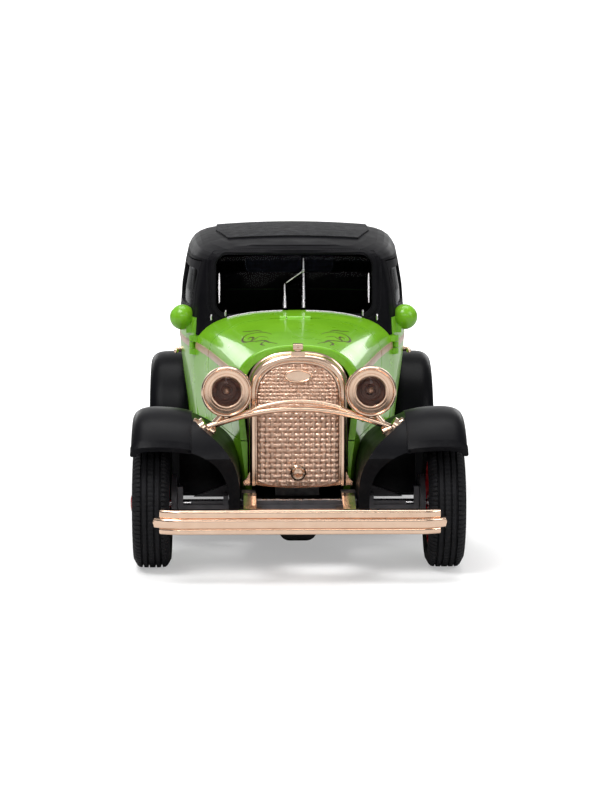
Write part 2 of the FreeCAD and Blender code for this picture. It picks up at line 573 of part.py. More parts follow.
def apron():
    """Web from the crown's inner edge down to the frame, and the back wall of the wheel well."""
    near, floor = -80.0, 13.1
    upper = [(20.4, 30.2), (17.0, 27.6), (14.0, 25.2), (11.8, 21.8), (11.0, 18.2), (10.9, floor)]
    lower = [(13.0, floor), (13.0, 16.6), (14.3, 20.6), (17.2, 23.4), (20.2, 24.5), (22.6, 25.4)]
    top_edge = spline([V(x, near, z) for x, z in upper])
    low_edge = spline([V(x, near, z) for x, z in lower])
    crown_z = AXLE_Z + 17.4
    ends = [Part.makeLine(V(10.9, near, floor), V(13.0, near, floor)),
            Part.makeLine(V(22.6, near, 25.4), V(22.6, near, crown_z)),
            Part.makeLine(V(22.6, near, crown_z), V(20.4, near, 30.2))]
    web = Part.Face(Part.Wire([top_edge, ends[0], low_edge, ends[1], ends[2]])).extrude(V(0, 70, 0))
    behind = Part.makeLine(V(10.9, near, floor), V(20.4, near, floor))
    outer_side = Part.makeLine(V(20.4, near, floor), V(20.4, near, 30.2))
    under_web = Part.Face(Part.Wire([top_edge, behind, outer_side])).extrude(V(0, 70, 0))
    drum = rod(V(8, FRONT_AXLE_Y, AXLE_Z), V(23, FRONT_AXLE_Y, AXLE_Z), WELL_R)
    hollow = rod(V(7, FRONT_AXLE_Y, AXLE_Z), V(24, FRONT_AXLE_Y, AXLE_Z), WELL_R - SHEET)
    turn = math.radians(TAIL_ANGLE)
    foot = (FRONT_AXLE_Y + WELL_R * math.cos(turn), AXLE_Z + WELL_R * math.sin(turn))
    end = (foot[0] + TAIL_RUN * math.sin(turn), foot[1] - TAIL_RUN * math.cos(turn))
    under_tail = side_prism([(FRONT_AXLE_Y, AXLE_Z), foot, end, (FRONT_AXLE_Y, end[1])], 8, 23)
    inward = (SHEET * math.cos(turn), SHEET * math.sin(turn))
    sheet = side_prism([foot, end, (end[0] - inward[0], end[1] - inward[1]),
                        (foot[0] - inward[0], foot[1] - inward[1])], 8, 23)
    ring = drum.cut(hollow).common(box(0, 40, FRONT_AXLE_Y, -20, foot[1] - 1.0, 60))
    back_wall = fused([ring, sheet]).common(under_web)
    nose = side_prism([(-75, 10), (-62.5, 10), (-71.5, 30), (-75, 30)], 5, 25)
    web = web.common(fused([drum, under_tail])).cut(nose)
    return fused([web, back_wall]).cut(box(0, 40, -90, 90, 0, floor))


def running_board_mats():
    """Ribbed rubber mats on the running boards."""
    mats = []
    for s in (LEFT, RIGHT):
        mat = box(s * 23.2, s * (BOARD_OUT - 0.3), -27.0, 19.5, BOARD_Z, BOARD_Z + 0.3)
        ribs = [box(s * x, s * (x + 0.35), -26.6, 19.1, BOARD_Z + 0.2, BOARD_Z + 0.6)
                for x in [23.5 + 0.72 * i for i in range(9)]]
        mats.append(fused([mat] + ribs))
    return group(mats)


# ---- wheels --------------------------------------------------------------------
def tyre(axle_y, side):
    """Rubber ring with rounded shoulders and grooves round its tread."""
    hub = V(0, axle_y, AXLE_Z)
    mid, half = (TYRE_IN + TYRE_OUT) / 2, (TYRE_OUT - TYRE_IN) / 2
    outline = [(RIM_R, -half + 1.0), (RIM_R + 0.5, -half + 0.3), (TYRE_R - 2.3, -half),
               (TYRE_R - 1.0, -half + 0.25), (TYRE_R - 0.2, -half + 0.9), (TYRE_R, -half + 1.7)]
    for x in (-1.2, 0.0, 1.2):
        outline += [(TYRE_R, x - 0.25), (TYRE_R - 0.5, x - 0.15), (TYRE_R - 0.5, x + 0.15), (TYRE_R, x + 0.25)]
    outline += [(r, -a) for r, a in reversed(outline[:6])]
    return turned(outline, hub + X_AXIS * (side * mid), X_AXIS * side, Z_AXIS)


def wheel(axle_y, side):
    """Spoked wheel: rim, hub, spokes and hub cap.  Outlines run out from the tyre's inner face."""
    hub = V(0, axle_y, AXLE_Z)
    face = hub + X_AXIS * (side * TYRE_IN)
    rim = [(RIM_R, 1.0), (RIM_R, 5.9), (RIM_R - 0.3, 6.4), (RIM_R - 1.0, 6.4), (RIM_R - 1.0, 5.1),
           (RIM_R - 0.8, 4.1), (RIM_R - 0.8, 0.5), (RIM_R - 0.3, 0.5)]
    core = [(AXLE_R, 0.5), (1.9, 0.5), (HUB_R, 2.0), (HUB_R, 4.9), (2.9, 5.4), (2.9, 6.2),
            (2.3, 7.0), (1.3, 7.5), (0.0, 7.6), (0.0, 5.1), (AXLE_R, 5.1)]
    parts = [turned(rim, face, X_AXIS * side, Z_AXIS), turned(core, face, X_AXIS * side, Z_AXIS)]
    for step in range(SPOKES):
        turn = 2 * math.pi * step / SPOKES
        out = V(0, math.cos(turn), math.sin(turn))
        root = 2.7 if step % 2 else 4.5
        start = face + X_AXIS * (side * root) + out * (HUB_R - 0.4)
        end = face + X_AXIS * (side * 3.9) + out * (RIM_R - 0.5)
        parts.append(rod(start, end, 0.38))
    return fused(parts)


def axle(axle_y):
    return rod(V(-AXLE_END, axle_y, AXLE_Z), V(AXLE_END, axle_y, AXLE_Z), AXLE_R)


def front_axle_beam():
    """Grey front axle beam, held to the rails by two gusset arms."""
    y = FRONT_AXLE_Y
    beam = box(-22.5, 22.5, y - 3.4, y - 2.2, 12.0, 13.2)
    ledge = box(-20.0, 20.0, y - 3.0, y - 2.2, 13.1, 13.9)
    parts = [beam, ledge]
    for s in (LEFT, RIGHT):
        parts.append(box(s * 13.1, s * 14.0, y - 3.4, y + 2.6, 10.2, 14.9))
        gusset = [(s * 13.1, 13.9), (s * 19.6, 13.9), (s * 13.1, 16.3)]
        parts.append(front_prism(gusset, y + 1.7, y + 2.6))
        parts.append(box(s * 12.5, s * 13.2, y + 1.2, y + 2.6, 10.2, 12.9))
        parts.append(box(s * 21.5, s * 22.5, y - 3.4, y - 1.6, 12.0, 16.6))
    beam = fused(parts)
    return beam.cut(rod(V(-30, y, AXLE_Z), V(30, y, AXLE_Z), AXLE_BORE_R))


def brake_plates():
    """Round plates inside the four wheels, fixed, with the axles running through."""
    plates = []
    for y in (FRONT_AXLE_Y, REAR_AXLE_Y):
        for s in (LEFT, RIGHT):
            disc = rod(V(s * 22.6, y, AXLE_Z), V(s * 23.2, y, AXLE_Z), 5.4)
            rim = rod(V(s * 23.2, y, AXLE_Z), V(s * 23.6, y, AXLE_Z), 5.4)
            rim = rim.cut(rod(V(s * 23.1, y, AXLE_Z), V(s * 23.7, y, AXLE_Z), 4.6))
            plate = fused([disc, rim]).cut(rod(V(s * 20, y, AXLE_Z), V(s * 26, y, AXLE_Z), AXLE_BORE_R))
            plates.append(plate)
    return group(plates)


# ---- front end --------------------------------------------------------------------
def arch_outline(width, top, foot, bottom, y):
    """Upright radiator outline: straight sides and a rounded crown."""
    points = []
    for step in range(7):
        turn = math.radians(90.0 * step / 6)
        across = width * math.cos(turn) ** (2 / SHOULDER_POWER)
        up = foot + (top - foot) * math.sin(turn) ** (2 / SHOULDER_POWER)
        points.append((across, up))
    crown = [V(x, y, z) for x, z in points] + [V(-x, y, z) for x, z in reversed(points[:-1])]
    left_foot, right_foot = V(width, y, bottom), V(-width, y, bottom)
    return Part.Wire([spline(crown), Part.makeLine(crown[-1], right_foot),
                      Part.makeLine(right_foot, left_foot), Part.makeLine(left_foot, crown[0])])


def radiator_shell():
    """Plated surround with a rolled outer band, a groove and an inner lip, on two flared feet."""
    y0 = RADIATOR_FRONT_Y
    stations = [(8.6, 40.0, y0), (8.95, 40.4, y0 + 0.3), (9.1, 40.6, y0 + 0.9), (9.5, 41.0, HOOD_FRONT_Y - 0.2)]
    outer = Part.makeLoft([arch_outline(width, top, 33.3, 15.9, y) for width, top, y in stations], True, False)
    inner = Part.makeLoft([arch_outline(8.05, 39.4, 33.3, 15.0, y0 - 1.0),
                           arch_outline(8.05, 39.4, 33.3, 15.0, HOOD_FRONT_Y + 1)], True, False)
    lip = Part.makeLoft([arch_outline(8.3, 39.65, 33.35, 15.9, y0 - 0.3),
                         arch_outline(8.3, 39.65, 33.35, 15.9, y0 + 0.3)], True, False)
    feet = []
    for s in (LEFT, RIGHT):
        foot = [(8.2, 15.9), (10.2, 15.9), (10.35, 16.5), (9.7, 17.1), (9.1, 18.4), (8.4, 18.4)]
        feet.append(front_prism([(s * x, z) for x, z in foot], y0 + 0.5, y0 + 2.2))
    neck = box(-1.3, 1.3, y0 + 0.4, y0 + 2.8, 39.9, 41.2)
    return fused([outer, lip, neck] + feet).cut(inner)


def radiator_grille():
    """The mesh slab inside the surround, its lower edge curved, with a small boss."""
    y0 = RADIATOR_FRONT_Y
    slab = Part.makeLoft([arch_outline(7.95, 39.3, 33.3, 15.4, y0 + 0.2),
                          arch_outline(7.95, 39.3, 33.3, 15.4, y0 + 1.4)], True, False)
    smile_r = 60.0
    below = rod(V(0, y0 - 1, 15.5 + smile_r), V(0, y0 + 3, 15.5 + smile_r), smile_r)
    boss = rod(V(0, y0 - 0.35, 18.5), V(0, y0 + 0.5, 18.5), 0.95)
    return fused([slab.common(below), boss])


def radiator_badge():
    """Blank oval plate high on the mesh."""
    y0 = RADIATOR_FRONT_Y
    plate = Part.makeCylinder(1.0, 0.55, V(0, 0, 0), Y_AXIS)
    stretch = FreeCAD.Matrix()
    stretch.scale(2.6, 1.0, 1.25)
    plate = plate.transformGeometry(stretch)
    plate.translate(V(0, y0 - 0.35, 36.7))
    return plate


def radiator_cap():
    y0 = RADIATOR_FRONT_Y + 1.6
    stem = rod(V(0, y0, 41.2), V(0, y0, 41.7), 0.7)
    cap = box(-0.95, 0.95, y0 - 0.95, y0 + 0.95, 41.5, 42.6)
    cap = cap.makeFillet(0.2, cap.Edges)
    return fused([stem, cap]).cut(rod(V(0, y0 - 2, 42.1), V(0, y0 - 0.6, 42.1), 0.25))


def arc_bar(half_span, end_z, mid_z, y, radius, reach):
    """A round bar bent to an arc across the car."""
    rise = mid_z - end_z
    bend = (half_span ** 2 + rise ** 2) / (2 * rise)
    turn = math.degrees(math.asin(reach / bend))
    centre = V(0, y, mid_z - bend)
    start = centre + V(math.sin(math.radians(turn)), 0, math.cos(math.radians(turn))) * bend
    along = V(math.cos(math.radians(turn)), 0, -math.sin(math.radians(turn)))
    face = Part.Face(Part.Wire([Part.makeCircle(radius, start, along)]))
    return face.revolve(centre, V(0, -1, 0), 2 * turn)


def headlight_bar():
    """Arched bar between the fenders that carries both headlights."""
    y = LAMP_Y + 2.0
    main_bar = arc_bar(17.3, 27.7, 31.3, y, 0.62, 17.3)
    top_bar = arc_bar(10.6, 30.3, 32.7, y - 0.2, 0.36, 10.6)
    parts = [main_bar, top_bar]
    for s in (LEFT, RIGHT):
        along = V(s * 0.86, 0, -0.51)
        middle = V(s * 17.2, y, 27.75)
        parts.append(rod(middle - along * 0.3, middle + along * 0.9, 2.05))
        parts.append(rod(V(s * 15.6, y, 28.8), V(s * 14.2, y, 30.4), 0.5))
        parts.append(rod(V(s * LAMP_X, y + 0.4, 29.0), V(s * LAMP_X, y + 0.4, 30.8), 0.8))
    bar = fused(parts)
    for shape in (headlight_bowls(), headlight_bezels(), apron(), mirrored(apron())):
        bar = bar.cut(shape)
    return biggest(bar)


def lamp_part(outline, side):
    """A turned lamp part: (radius, distance behind the lamp's face) points."""
    return turned(outline, V(side * LAMP_X, LAMP_Y, LAMP_Z), Y_AXIS, Z_AXIS)


def headlight_bowls():
    outline = [(4.3, 0.9), (4.4, 1.6), (4.3, 3.0), (3.8, 4.9), (2.9, 6.5), (1.7, 7.6), (0.0, 8.1),
               (0.0, 7.3), (1.5, 6.9), (2.6, 5.9), (3.4, 4.5), (3.8, 2.8), (3.85, 0.9)]
    return group(lamp_part(outline, s) for s in (LEFT, RIGHT))


def headlight_bezels():
    outline = [(4.7, 0.35), (4.55, 0.0), (4.2, 0.1), (4.1, 0.45), (3.0, 0.7), (2.85, 0.5), (2.7, 0.75),
               (2.7, 0.88), (4.4, 0.88), (4.4, 1.5), (4.7, 1.3)]
    return group(lamp_part(outline, s) for s in (LEFT, RIGHT))


def headlight_reflectors():
    outline = [(3.7, 1.0), (3.7, 1.4), (2.9, 2.4), (1.6, 3.2), (0.0, 3.5), (0.0, 2.0), (0.6, 2.1), (0.75, 2.6),
               (1.3, 2.8), (2.5, 2.0), (3.2, 1.0)]
    return group(lamp_part(outline, s) for s in (LEFT, RIGHT))


def headlight_lenses():
    outline = [(0.0, 0.45), (1.4, 0.52), (2.62, 0.8), (2.62, 0.95), (0.0, 0.95)]
    return group(lamp_part(outline, s) for s in (LEFT, RIGHT))


def bar_section(z0, z1, front_y, facing):
    """One bumper bar cut across: flat back, rounded front corners."""
    depth, r = 1.7, 0.45
    y0, y1 = front_y, front_y + facing * depth
    x, bend = BUMPER_STRAIGHT, r * (1 - math.cos(math.pi / 4))
    low = Part.Arc(V(x, y0 + facing * r, z0), V(x, y0 + facing * bend, z0 + bend), V(x, y0, z0 + r))
    high = Part.Arc(V(x, y0, z1 - r), V(x, y0 + facing * bend, z1 - bend), V(x, y0 + facing * r, z1))
    edges = [low.toShape(), Part.makeLine(V(x, y0, z0 + r), V(x, y0, z1 - r)), high.toShape(),
             Part.makeLine(V(x, y0 + facing * r, z1), V(x, y1, z1)), Part.makeLine(V(x, y1, z1), V(x, y1, z0)),
             Part.makeLine(V(x, y1, z0), V(x, y0 + facing * r, z0))]
    return Part.Face(Part.Wire(edges))


def bumper_blade(front_y, facing):
    """Three stacked bars, the middle one proud, all with their ends curving back."""
    pivot = V(BUMPER_STRAIGHT, front_y + facing * BUMPER_BEND, 0)
    parts = []
    for z0, z1, back, turn in BUMPER_BARS:
        face = bar_section(z0, z1, front_y + facing * back, facing)
        end = face.revolve(pivot, Z_AXIS, facing * turn)
        parts += [face.extrude(V(-2 * BUMPER_STRAIGHT, 0, 0)), end, mirrored(end)]
    z0, z1, _, turn = BUMPER_BARS[1]
    lean = math.radians(turn)
    along = V(math.cos(lean), facing * math.sin(lean), 0)
    reach = BUMPER_BEND - 0.9
    tip = V(pivot.x + reach * math.sin(lean), pivot.y - facing * reach * math.cos(lean), (z0 + z1) / 2)
    button = rod(tip - along * 0.3, tip + along * 0.5, 0.55)
    return fused(parts + [button, mirrored(button)])


def front_bumper():
    """Front blade with its two brackets and the plated pan between them."""
    parts = [bumper_blade(BUMPER_Y, 1)]
    for s in (LEFT, RIGHT):
        iron = [(-73.4, 11.4), (-73.4, 14.0), (-69.5, 15.0), (-64.0, 15.8), (-60.5, 15.8), (-58.6, 15.4),
                (-58.6, 13.1), (-61.1, 13.1), (-61.1, 10.6), (-66.0, 10.4)]
        parts.append(side_prism(iron, s * 7.9, s * 10.2))
    pan = box(-8.0, 8.0, -73.2, -58.6, 12.2, 12.9)
    opening = box(-6.9, 6.9, -67.0, -50.0, 11, 14)
    front_corners = [e for e in opening.Edges
                     if abs(e.tangentAt(e.FirstParameter).z) > 0.99 and e.CenterOfMass.y < -60]
    opening = opening.makeFillet(4.5, front_corners)
    parts.append(pan.cut(opening))
    return fused(parts)


def rear_bumper():
    """Rear blade on two brackets bolted to the frame."""
    parts = [bumper_blade(-BUMPER_Y, -1)]
    for s in (LEFT, RIGHT):
        iron = [(73.4, 11.0), (73.4, 13.0), (68.0, 13.4), (67.1, 13.0), (67.1, 10.0), (69.0, 10.0)]
        parts.append(side_prism(iron, s * RAIL_IN, s * RAIL_OUT))
    return fused(parts)


# ---- inside ------------------------------------------------------------------------
def interior_tub():
    """Floor, wheel boxes and rear side walls, one dark moulding."""
    space = cab_body(WALL + 0.15)
    floor = space.common(box(-40, 40, -5.0, 62, FLOOR_Z - 1.0, FLOOR_Z))
    for s in (LEFT, RIGHT):
        floor = floor.cut(box(s * 16.4, s * 40, -8, DOOR_REAR_Y + 0.5, 0, 50))
    front = front_body(WALL + 0.15).common(box(-16.4, 16.4, FIREWALL_Y + 0.1, -4.9, FLOOR_Z - 1.0, FLOOR_Z))
    front = fused([front, box(-16.0, 16.0, -7.0, -4.9, FLOOR_Z - 1.0, FLOOR_Z)])
    rear_zone = box(-40, 40, DOOR_REAR_Y + 0.8, 70, FLOOR_Z - 0.5, WAIST_Z - 0.4)
    walls = space.cut(cab_body(WALL + 1.0)).common(rear_zone)
    tunnel = box(-2.6, 2.6, FIREWALL_Y + 0.1, 30.0, FLOOR_Z - 0.5, FLOOR_Z + 1.6)
    tub = fused([floor, front, walls, tunnel])
    for s in (LEFT, RIGHT):
        for y in (POST_FRONT_Y, POST_REAR_Y):
            tub = tub.cut(rod(V(s * POST_X, y, 0), V(s * POST_X, y, 22), POST_R + 0.15))
        tub = tub.cut(box(s * (POST_X - 1.0), s * (POST_X + 1.0), FIREWALL_Y, POST_FRONT_Y, 10, 19))
    return biggest(tub)


def seat(x0, x1, y0, depth, back_top):
    """Cushion and backrest, standing on a plinth."""
    base = box(x0 + 1.5, x1 - 1.5, y0 + 1.5, y0 + depth - 1, FLOOR_Z, FLOOR_Z + 2.6)
    cushion = box(x0, x1, y0, y0 + depth, FLOOR_Z + 2.5, FLOOR_Z + 7.5)
    back = box(x0, x1, y0 + depth - 3.4, y0 + depth + 0.4, FLOOR_Z + 4.0, back_top)
    soft = [pad.makeFillet(1.1, pad.Edges) for pad in (cushion, back)]
    return fused([base] + soft)


def dashboard():
    space = front_body(WALL + 0.2)
    lower = space.common(box(-18.2, 18.2, -9.0, COWL_REAR_Y, 36.0, 43.0))
    cluster = rod(V(0, -5.7, 39.4), V(0, -4.6, 39.4), 2.6)
    return fused([lower, cluster])


def steering_wheel():
    """Wheel and column, leaning back towards the driver on the left."""
    foot, top = V(8.6, -13.0, 20.0), V(8.6, 3.6, 36.4)
    lean = (top - foot).normalize()
    column = rod(foot, top, 0.5)
    rim = Part.makeTorus(4.9, 0.45, top, lean)
    boss = rod(top - lean * 0.4, top + lean * 0.8, 1.1)
    across = X_AXIS
    up = lean.cross(across)
    parts = [column, rim, boss]
    for turn in (90, 210, 330):
        out = across * math.cos(math.radians(turn)) + up * math.sin(math.radians(turn))
        parts.append(rod(top + out * 0.6, top + out * 4.9, 0.32))
    return fused(parts)


def gear_lever():
    knob = Part.makeSphere(0.9, V(0, 2.6, 27.4))
    stick = rod(V(0, 0.7, FLOOR_Z + 2.0), V(0, 2.6, 27.2), 0.35)
    boot = Part.makeCone(1.5, 0.5, 1.6, V(0, 0.6, FLOOR_Z + 1.6))
    return fused([knob, stick, boot])


def engine_block():
    """Four-cylinder block with head, plugs, manifold and timing cover."""
    parts = [box(-4.2, 4.2, -43.5, -22.5, CHASSIS_TOP, 27.0), box(-3.6, 3.6, -43.0, -23.0, 26.9, 30.0),
             box(-5.2, 5.2, -43.8, -22.2, 15.0, 17.0), box(-3.4, 3.4, -44.8, -43.4, 14.0, 25.0)]
    for step in range(4):
        y = -40.2 + 4.8 * step
        parts.append(rod(V(1.4, y, 29.8), V(1.4, y, 32.4), 0.6))
        parts.append(rod(V(4.0, y, 24.0), V(6.2, y, 24.0), 0.8))
    parts.append(rod(V(6.2, -41.5, 24.0), V(6.2, -24.5, 24.0), 1.1))
    parts.append(rod(V(6.2, -24.9, 24.0), V(6.2, -24.9, 14.5), 0.9))
    parts.append(rod(V(-5.2, -33.0, 22.0), V(-3.9, -33.0, 22.0), 1.8))
    parts.append(box(-8.0, -5.0, -35.2, -30.8, 19.6, 26.0))
    parts.append(rod(V(0, -45.9, 25.5), V(0, -44.7, 25.5), 1.5))
    parts.append(box(-2.0, 2.0, -44.9, -43.0, 24.5, 28.6))
    return fused(parts)


def cooling_fan():
    """Four-bladed fan in front of the engine."""
    y = -47.2
    parts = [rod(V(0, y - 0.7, 25.5), V(0, -46.0, 25.5), 1.3)]
    for step in range(4):
        blade = box(-1.1, 1.1, y - 0.35, y + 0.25, 26.0, 31.6)
        blade.rotate(V(0, y, 28.8), Z_AXIS, 24)
        blade.rotate(V(0, y, 25.5), Y_AXIS, 45 + 90 * step)
        parts.append(blade)
    return fused(parts)


# ---- small outside parts --------------------------------------------------------------
def mirror(side):
    """Domed mirror on a foot at the front of the door."""
    centre = V(22.9, -1.6, 42.7)
    ball = Part.makeSphere(2.6, centre)
    ball = ball.cut(box(15, 30, centre.y + 0.9, 20, 30, 50))
    glass_pocket = rod(V(23.3, -0.95, 42.7), V(23.3, 5.0, 42.7), 1.7)
    stem = rod(V(21.0, -1.9, 41.6), V(22.4, -1.8, 42.4), 0.7)
    foot = box(20.8, 22.1, -3.2, -0.6, 39.6, 42.9)
    shape = fused([ball, stem, foot]).cut(glass_pocket).cut(CAB_OUTER).cut(ROOF_OUTER)
    return on_side(biggest(shape), side)


def mirror_glass(side):
    return on_side(rod(V(23.3, -0.95, 42.7), V(23.3, -0.72, 42.7), 1.68), side)


def door_handle(side):
    """Lever handle near the rear edge of the door."""
    y = DOOR_REAR_Y - 2.6
    x = half_width(y)
    boss = rod(V(x - 0.2, y, 34.0), V(x + 1.0, y, 34.0), 0.6)
    lever = rod(V(x + 0.9, y + 0.4, 34.0), V(x + 0.9, y - 3.4, 34.0), 0.4)
    tip = Part.makeSphere(0.5, V(x + 0.9, y - 3.4, 34.0))
    return on_side(fused([boss, lever, tip]).cut(cab_body(0.0)), side)


def wiper():
    """Wiper hanging from the top of the windscreen frame, in front of the glass."""
    pivot = rod(V(-1.2, -5.2, 56.0), V(-1.2, -5.7, 56.0), 0.3)
    arm = rod(V(-1.2, -5.5, 56.0), V(1.2, -6.35, 50.6), 0.16)
    blade = rod(V(0.2, -5.8, 53.4), V(2.2, -6.8, 48.4), 0.22)
    return fused([pivot, arm, blade])


def spare_tyre():
    shape = tyre(0.0, LEFT)
    return stand_up(shape)


def stand_up(shape):
    """Turn a wheel part to face the rear, centred behind the body."""
    placed = shape.copy()
    placed.translate(V(-(TYRE_IN + TYRE_OUT) / 2, 0, -AXLE_Z))
    placed.rotate(V(0, 0, 0), Z_AXIS, 90)
    placed.translate(V(0, SPARE_Y, SPARE_Z))
    return placed


def spare_wheel():
    """The spare's spoked wheel with the bracket that holds it on the body."""
    shape = stand_up(wheel(0.0, LEFT))
    bracket = rod(V(0, 64.7, SPARE_Z), V(0, SPARE_Y - 1.4, SPARE_Z), 1.8)
    plate = rod(V(0, 64.7, SPARE_Z), V(0, 65.4, SPARE_Z), 4.0)
    plug = rod(V(0, SPARE_Y - 3.5, SPARE_Z), V(0, SPARE_Y + 2, SPARE_Z), AXLE_R)
    return fused([shape, bracket, plate, plug]).cut(cab_body(0.0))


def tail_lights():
    lamps = []
    for s in (LEFT, RIGHT):
        x = s * 20.2
        bowl = [(0.0, 0.0), (1.0, 0.1), (1.9, 0.8), (2.2, 2.2), (2.3, 2.4), (2.3, 2.9), (1.9, 3.1),
                (1.2, 3.35), (0.0, 3.45)]
        lamp = turned(bowl, V(x, 64.6, 27.0), Y_AXIS, Z_AXIS)
        stalk = rod(V(x, 60.0, 25.6), V(x, 66.0, 25.6), 0.6)
        lamps.append(fused([lamp, stalk]).cut(cab_body(0.0)))
    return group(lamps)


def hinge_pins():
    """Four door hinge pins and the hood hinge pin."""
    pins = [rod(V(-BARREL_END, HOOD_REAR_Y, HINGE_Z), V(BARREL_END, HOOD_REAR_Y, HINGE_Z), PIN_R)]
    for s in (LEFT, RIGHT):
        for z in DOOR_HINGE_ZS:
            foot = V(s * door_pin_x(), DOOR_PIN_Y, z - 1.5 * DOOR_LEAF)
            pins.append(rod(foot, foot + V(0, 0, 3 * DOOR_LEAF), 0.27))
    return group(pins)


FRONT_OUTER, FRONT_INNER = front_body(), front_body(WALL)
CAB_OUTER, CAB_INNER = cab_body(), cab_body(WALL)
ROOF_OUTER, ROOF_INNER = greenhouse(), greenhouse(ROOF_WALL)
GLASS_LAYER = greenhouse(GLASS_INSET).cut(greenhouse(GLASS_INSET + GLASS_THICK))


def front_seats():
    return group(seat(x, x + 13.6, 10.0, 13.0, 38.0) for x in (-16.8, 3.2))


def nodes():
    """Every piece by name."""
    yield "body_shell", body_shell
    yield "hood", hood
    yield "roof_shell", roof_shell
    yield "roof_insert", roof_insert
    yield "windscreen", windscreen
    yield "rear_windows", rear_windows
    yield "chassis", chassis
    yield "chassis_screws", chassis_screws
    yield "running_board_mats", running_board_mats
    yield "front_axle", lambda: axle(FRONT_AXLE_Y)
    yield "rear_axle", lambda: axle(REAR_AXLE_Y)
    yield "front_axle_beam", front_axle_beam
    yield "brake_plates", brake_plates
    yield "radiator_shell", radiator_shell
    yield "radiator_grille", radiator_grille
    yield "radiator_badge", radiator_badge
    yield "radiator_cap", radiator_cap
    yield "headlight_bar", headlight_bar
    yield "headlight_bowls", headlight_bowls
    yield "headlight_bezels", headlight_bezels
    yield "headlight_reflectors", headlight_reflectors
    yield "headlight_lenses", headlight_lenses
    yield "front_bumper", front_bumper
    yield "rear_bumper", rear_bumper
    yield "interior_tub", interior_tub
    yield "front_seats", front_seats
    yield "rear_seat", lambda: seat(-18.0, 18.0, 41.0, 12.0, 39.0)
    yield "dashboard", dashboard
    yield "steering_wheel", steering_wheel
    yield "gear_lever", gear_lever
    yield "engine_block", engine_block
    yield "cooling_fan", cooling_fan
    yield "wiper", wiper
    yield "spare_tyre", spare_tyre
    yield "spare_wheel", spare_wheel
    yield "tail_lights", tail_lights
    yield "hinge_pins", hinge_pins
    for word, side in SIDES.items():
        yield "fender_" + word, lambda side=side: fender(side)
        yield "door_panel_" + word, lambda side=side: door_panel(side)
        yield "door_frame_" + word, lambda side=side: door_frame(side)
        yield "door_glass_" + word, lambda side=side: door_glass(side)
        yield "door_handle_" + word, lambda side=side: door_handle(side)
        yield "mirror_" + word, lambda side=side: mirror(side)
        yield "mirror_glass_" + word, lambda side=side: mirror_glass(side)
        for end, y in (("front", FRONT_AXLE_Y), ("rear", REAR_AXLE_Y)):
            yield "tyre_" + end + "_" + word, lambda side=side, y=y: tyre(y, side)
            yield "wheel_" + end + "_" + word, lambda side=side, y=y: wheel(y, side)


def main():
    os.makedirs("parts", exist_ok=True)
    for name, make in nodes():
        shape = make()
        shape.translate(V(0, 0, -GROUND_Z))
        b = shape.BoundBox
        print(f"{name:24s} solids {len(shape.Solids)} valid {shape.isValid()} vol {shape.Volume:9.1f} "
              f"x {b.XMin:6.1f} {b.XMax:6.1f} y {b.YMin:6.1f} {b.YMax:6.1f} z {b.ZMin:6.1f} {b.ZMax:6.1f}")
        shape.exportStep("parts/" + name + ".step")


main()
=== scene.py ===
import math
import random

import bmesh
import bpy
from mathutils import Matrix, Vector
from mathutils.bvhtree import BVHTree


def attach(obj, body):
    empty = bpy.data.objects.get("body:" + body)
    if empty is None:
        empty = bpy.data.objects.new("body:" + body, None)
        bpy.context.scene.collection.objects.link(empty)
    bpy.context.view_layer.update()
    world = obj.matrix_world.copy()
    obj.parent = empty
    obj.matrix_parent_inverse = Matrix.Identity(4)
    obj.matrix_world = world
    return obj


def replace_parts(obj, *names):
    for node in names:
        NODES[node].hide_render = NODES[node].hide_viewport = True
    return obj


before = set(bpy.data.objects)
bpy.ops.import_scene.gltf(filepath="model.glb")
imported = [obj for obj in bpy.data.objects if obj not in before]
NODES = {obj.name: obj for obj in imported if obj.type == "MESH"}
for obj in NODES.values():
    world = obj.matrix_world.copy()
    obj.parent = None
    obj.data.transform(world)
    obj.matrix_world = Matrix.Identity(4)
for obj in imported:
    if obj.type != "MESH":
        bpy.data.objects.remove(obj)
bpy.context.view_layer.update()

MM = 0.001
SIDES = {"left": 1, "right": -1}
X, Y, Z = Vector((1, 0, 0)), Vector((0, 1, 0)), Vector((0, 0, 1))

# ---- places and sizes, in millimetres -------------------------------------------
AXLES = {"front": -55.0, "rear": 39.0}
AXLE_Z = 12.0
TYRE_R, TYRE_MID, TYRE_HALF, RIM_R = 12.0, 27.25, 3.45, 8.3
TREAD_BLOCKS, STEPS_PER_BLOCK, TREAD_CUT = 84, 4, 0.55
HUB_FACE_X, VALVE_X = 30.6, 29.0
SPARE = Vector((0, 69.0, 28.0))
LAMP_X, LAMP_Z, BEZEL_Y, BOWL_Y = 13.3, 33.7, -59.75, -58.0
LAMP_BAR_CLAMP_X, LAMP_BAR_CLAMP_Z = 17.6, 26.9
GRILLE_FACE_Y, GRILLE_TOP, GRILLE_BOTTOM = -52.8, 38.05, 14.75
GRILLE_HALF, CROWN_FROM, CROWN_TALL, FOOT_FROM, FOOT_TALL = 7.75, 31.0, 7.1, 16.0, 1.3
GRILLE_ROWS, GRILLE_COLUMNS = 196, 110
WEAVE = dict(pitch=0.98, wire=0.42, wave=0.09)
FINE_WEAVE, FINE_FROM = dict(pitch=0.7, wire=0.3, wave=0.07), 29.9
WEAVE_ROUGH, TOP_ROUGH, TOP_ROUGH_FROM = 0.07, 0.16, 29.5
SCREEN_X, SCREEN_LOW, SCREEN_HIGH = 15.9, 42.8, 54.8
WIPER_X = 1.93
SHIELD_Y = (-46.0, -45.4)
BELT = [(-49.3, 35.0), (-18.0, 36.0), (-6.0, 36.4), (60.0, 36.4)]
BELT_TALL, BELT_THICK = 1.4, 0.10
LOUVRES, LOUVRE_FIRST_Y, LOUVRE_PITCH = 10, -42.0, 2.1
TAIL_LAMP = Vector((20.2, 68.0, 26.0))
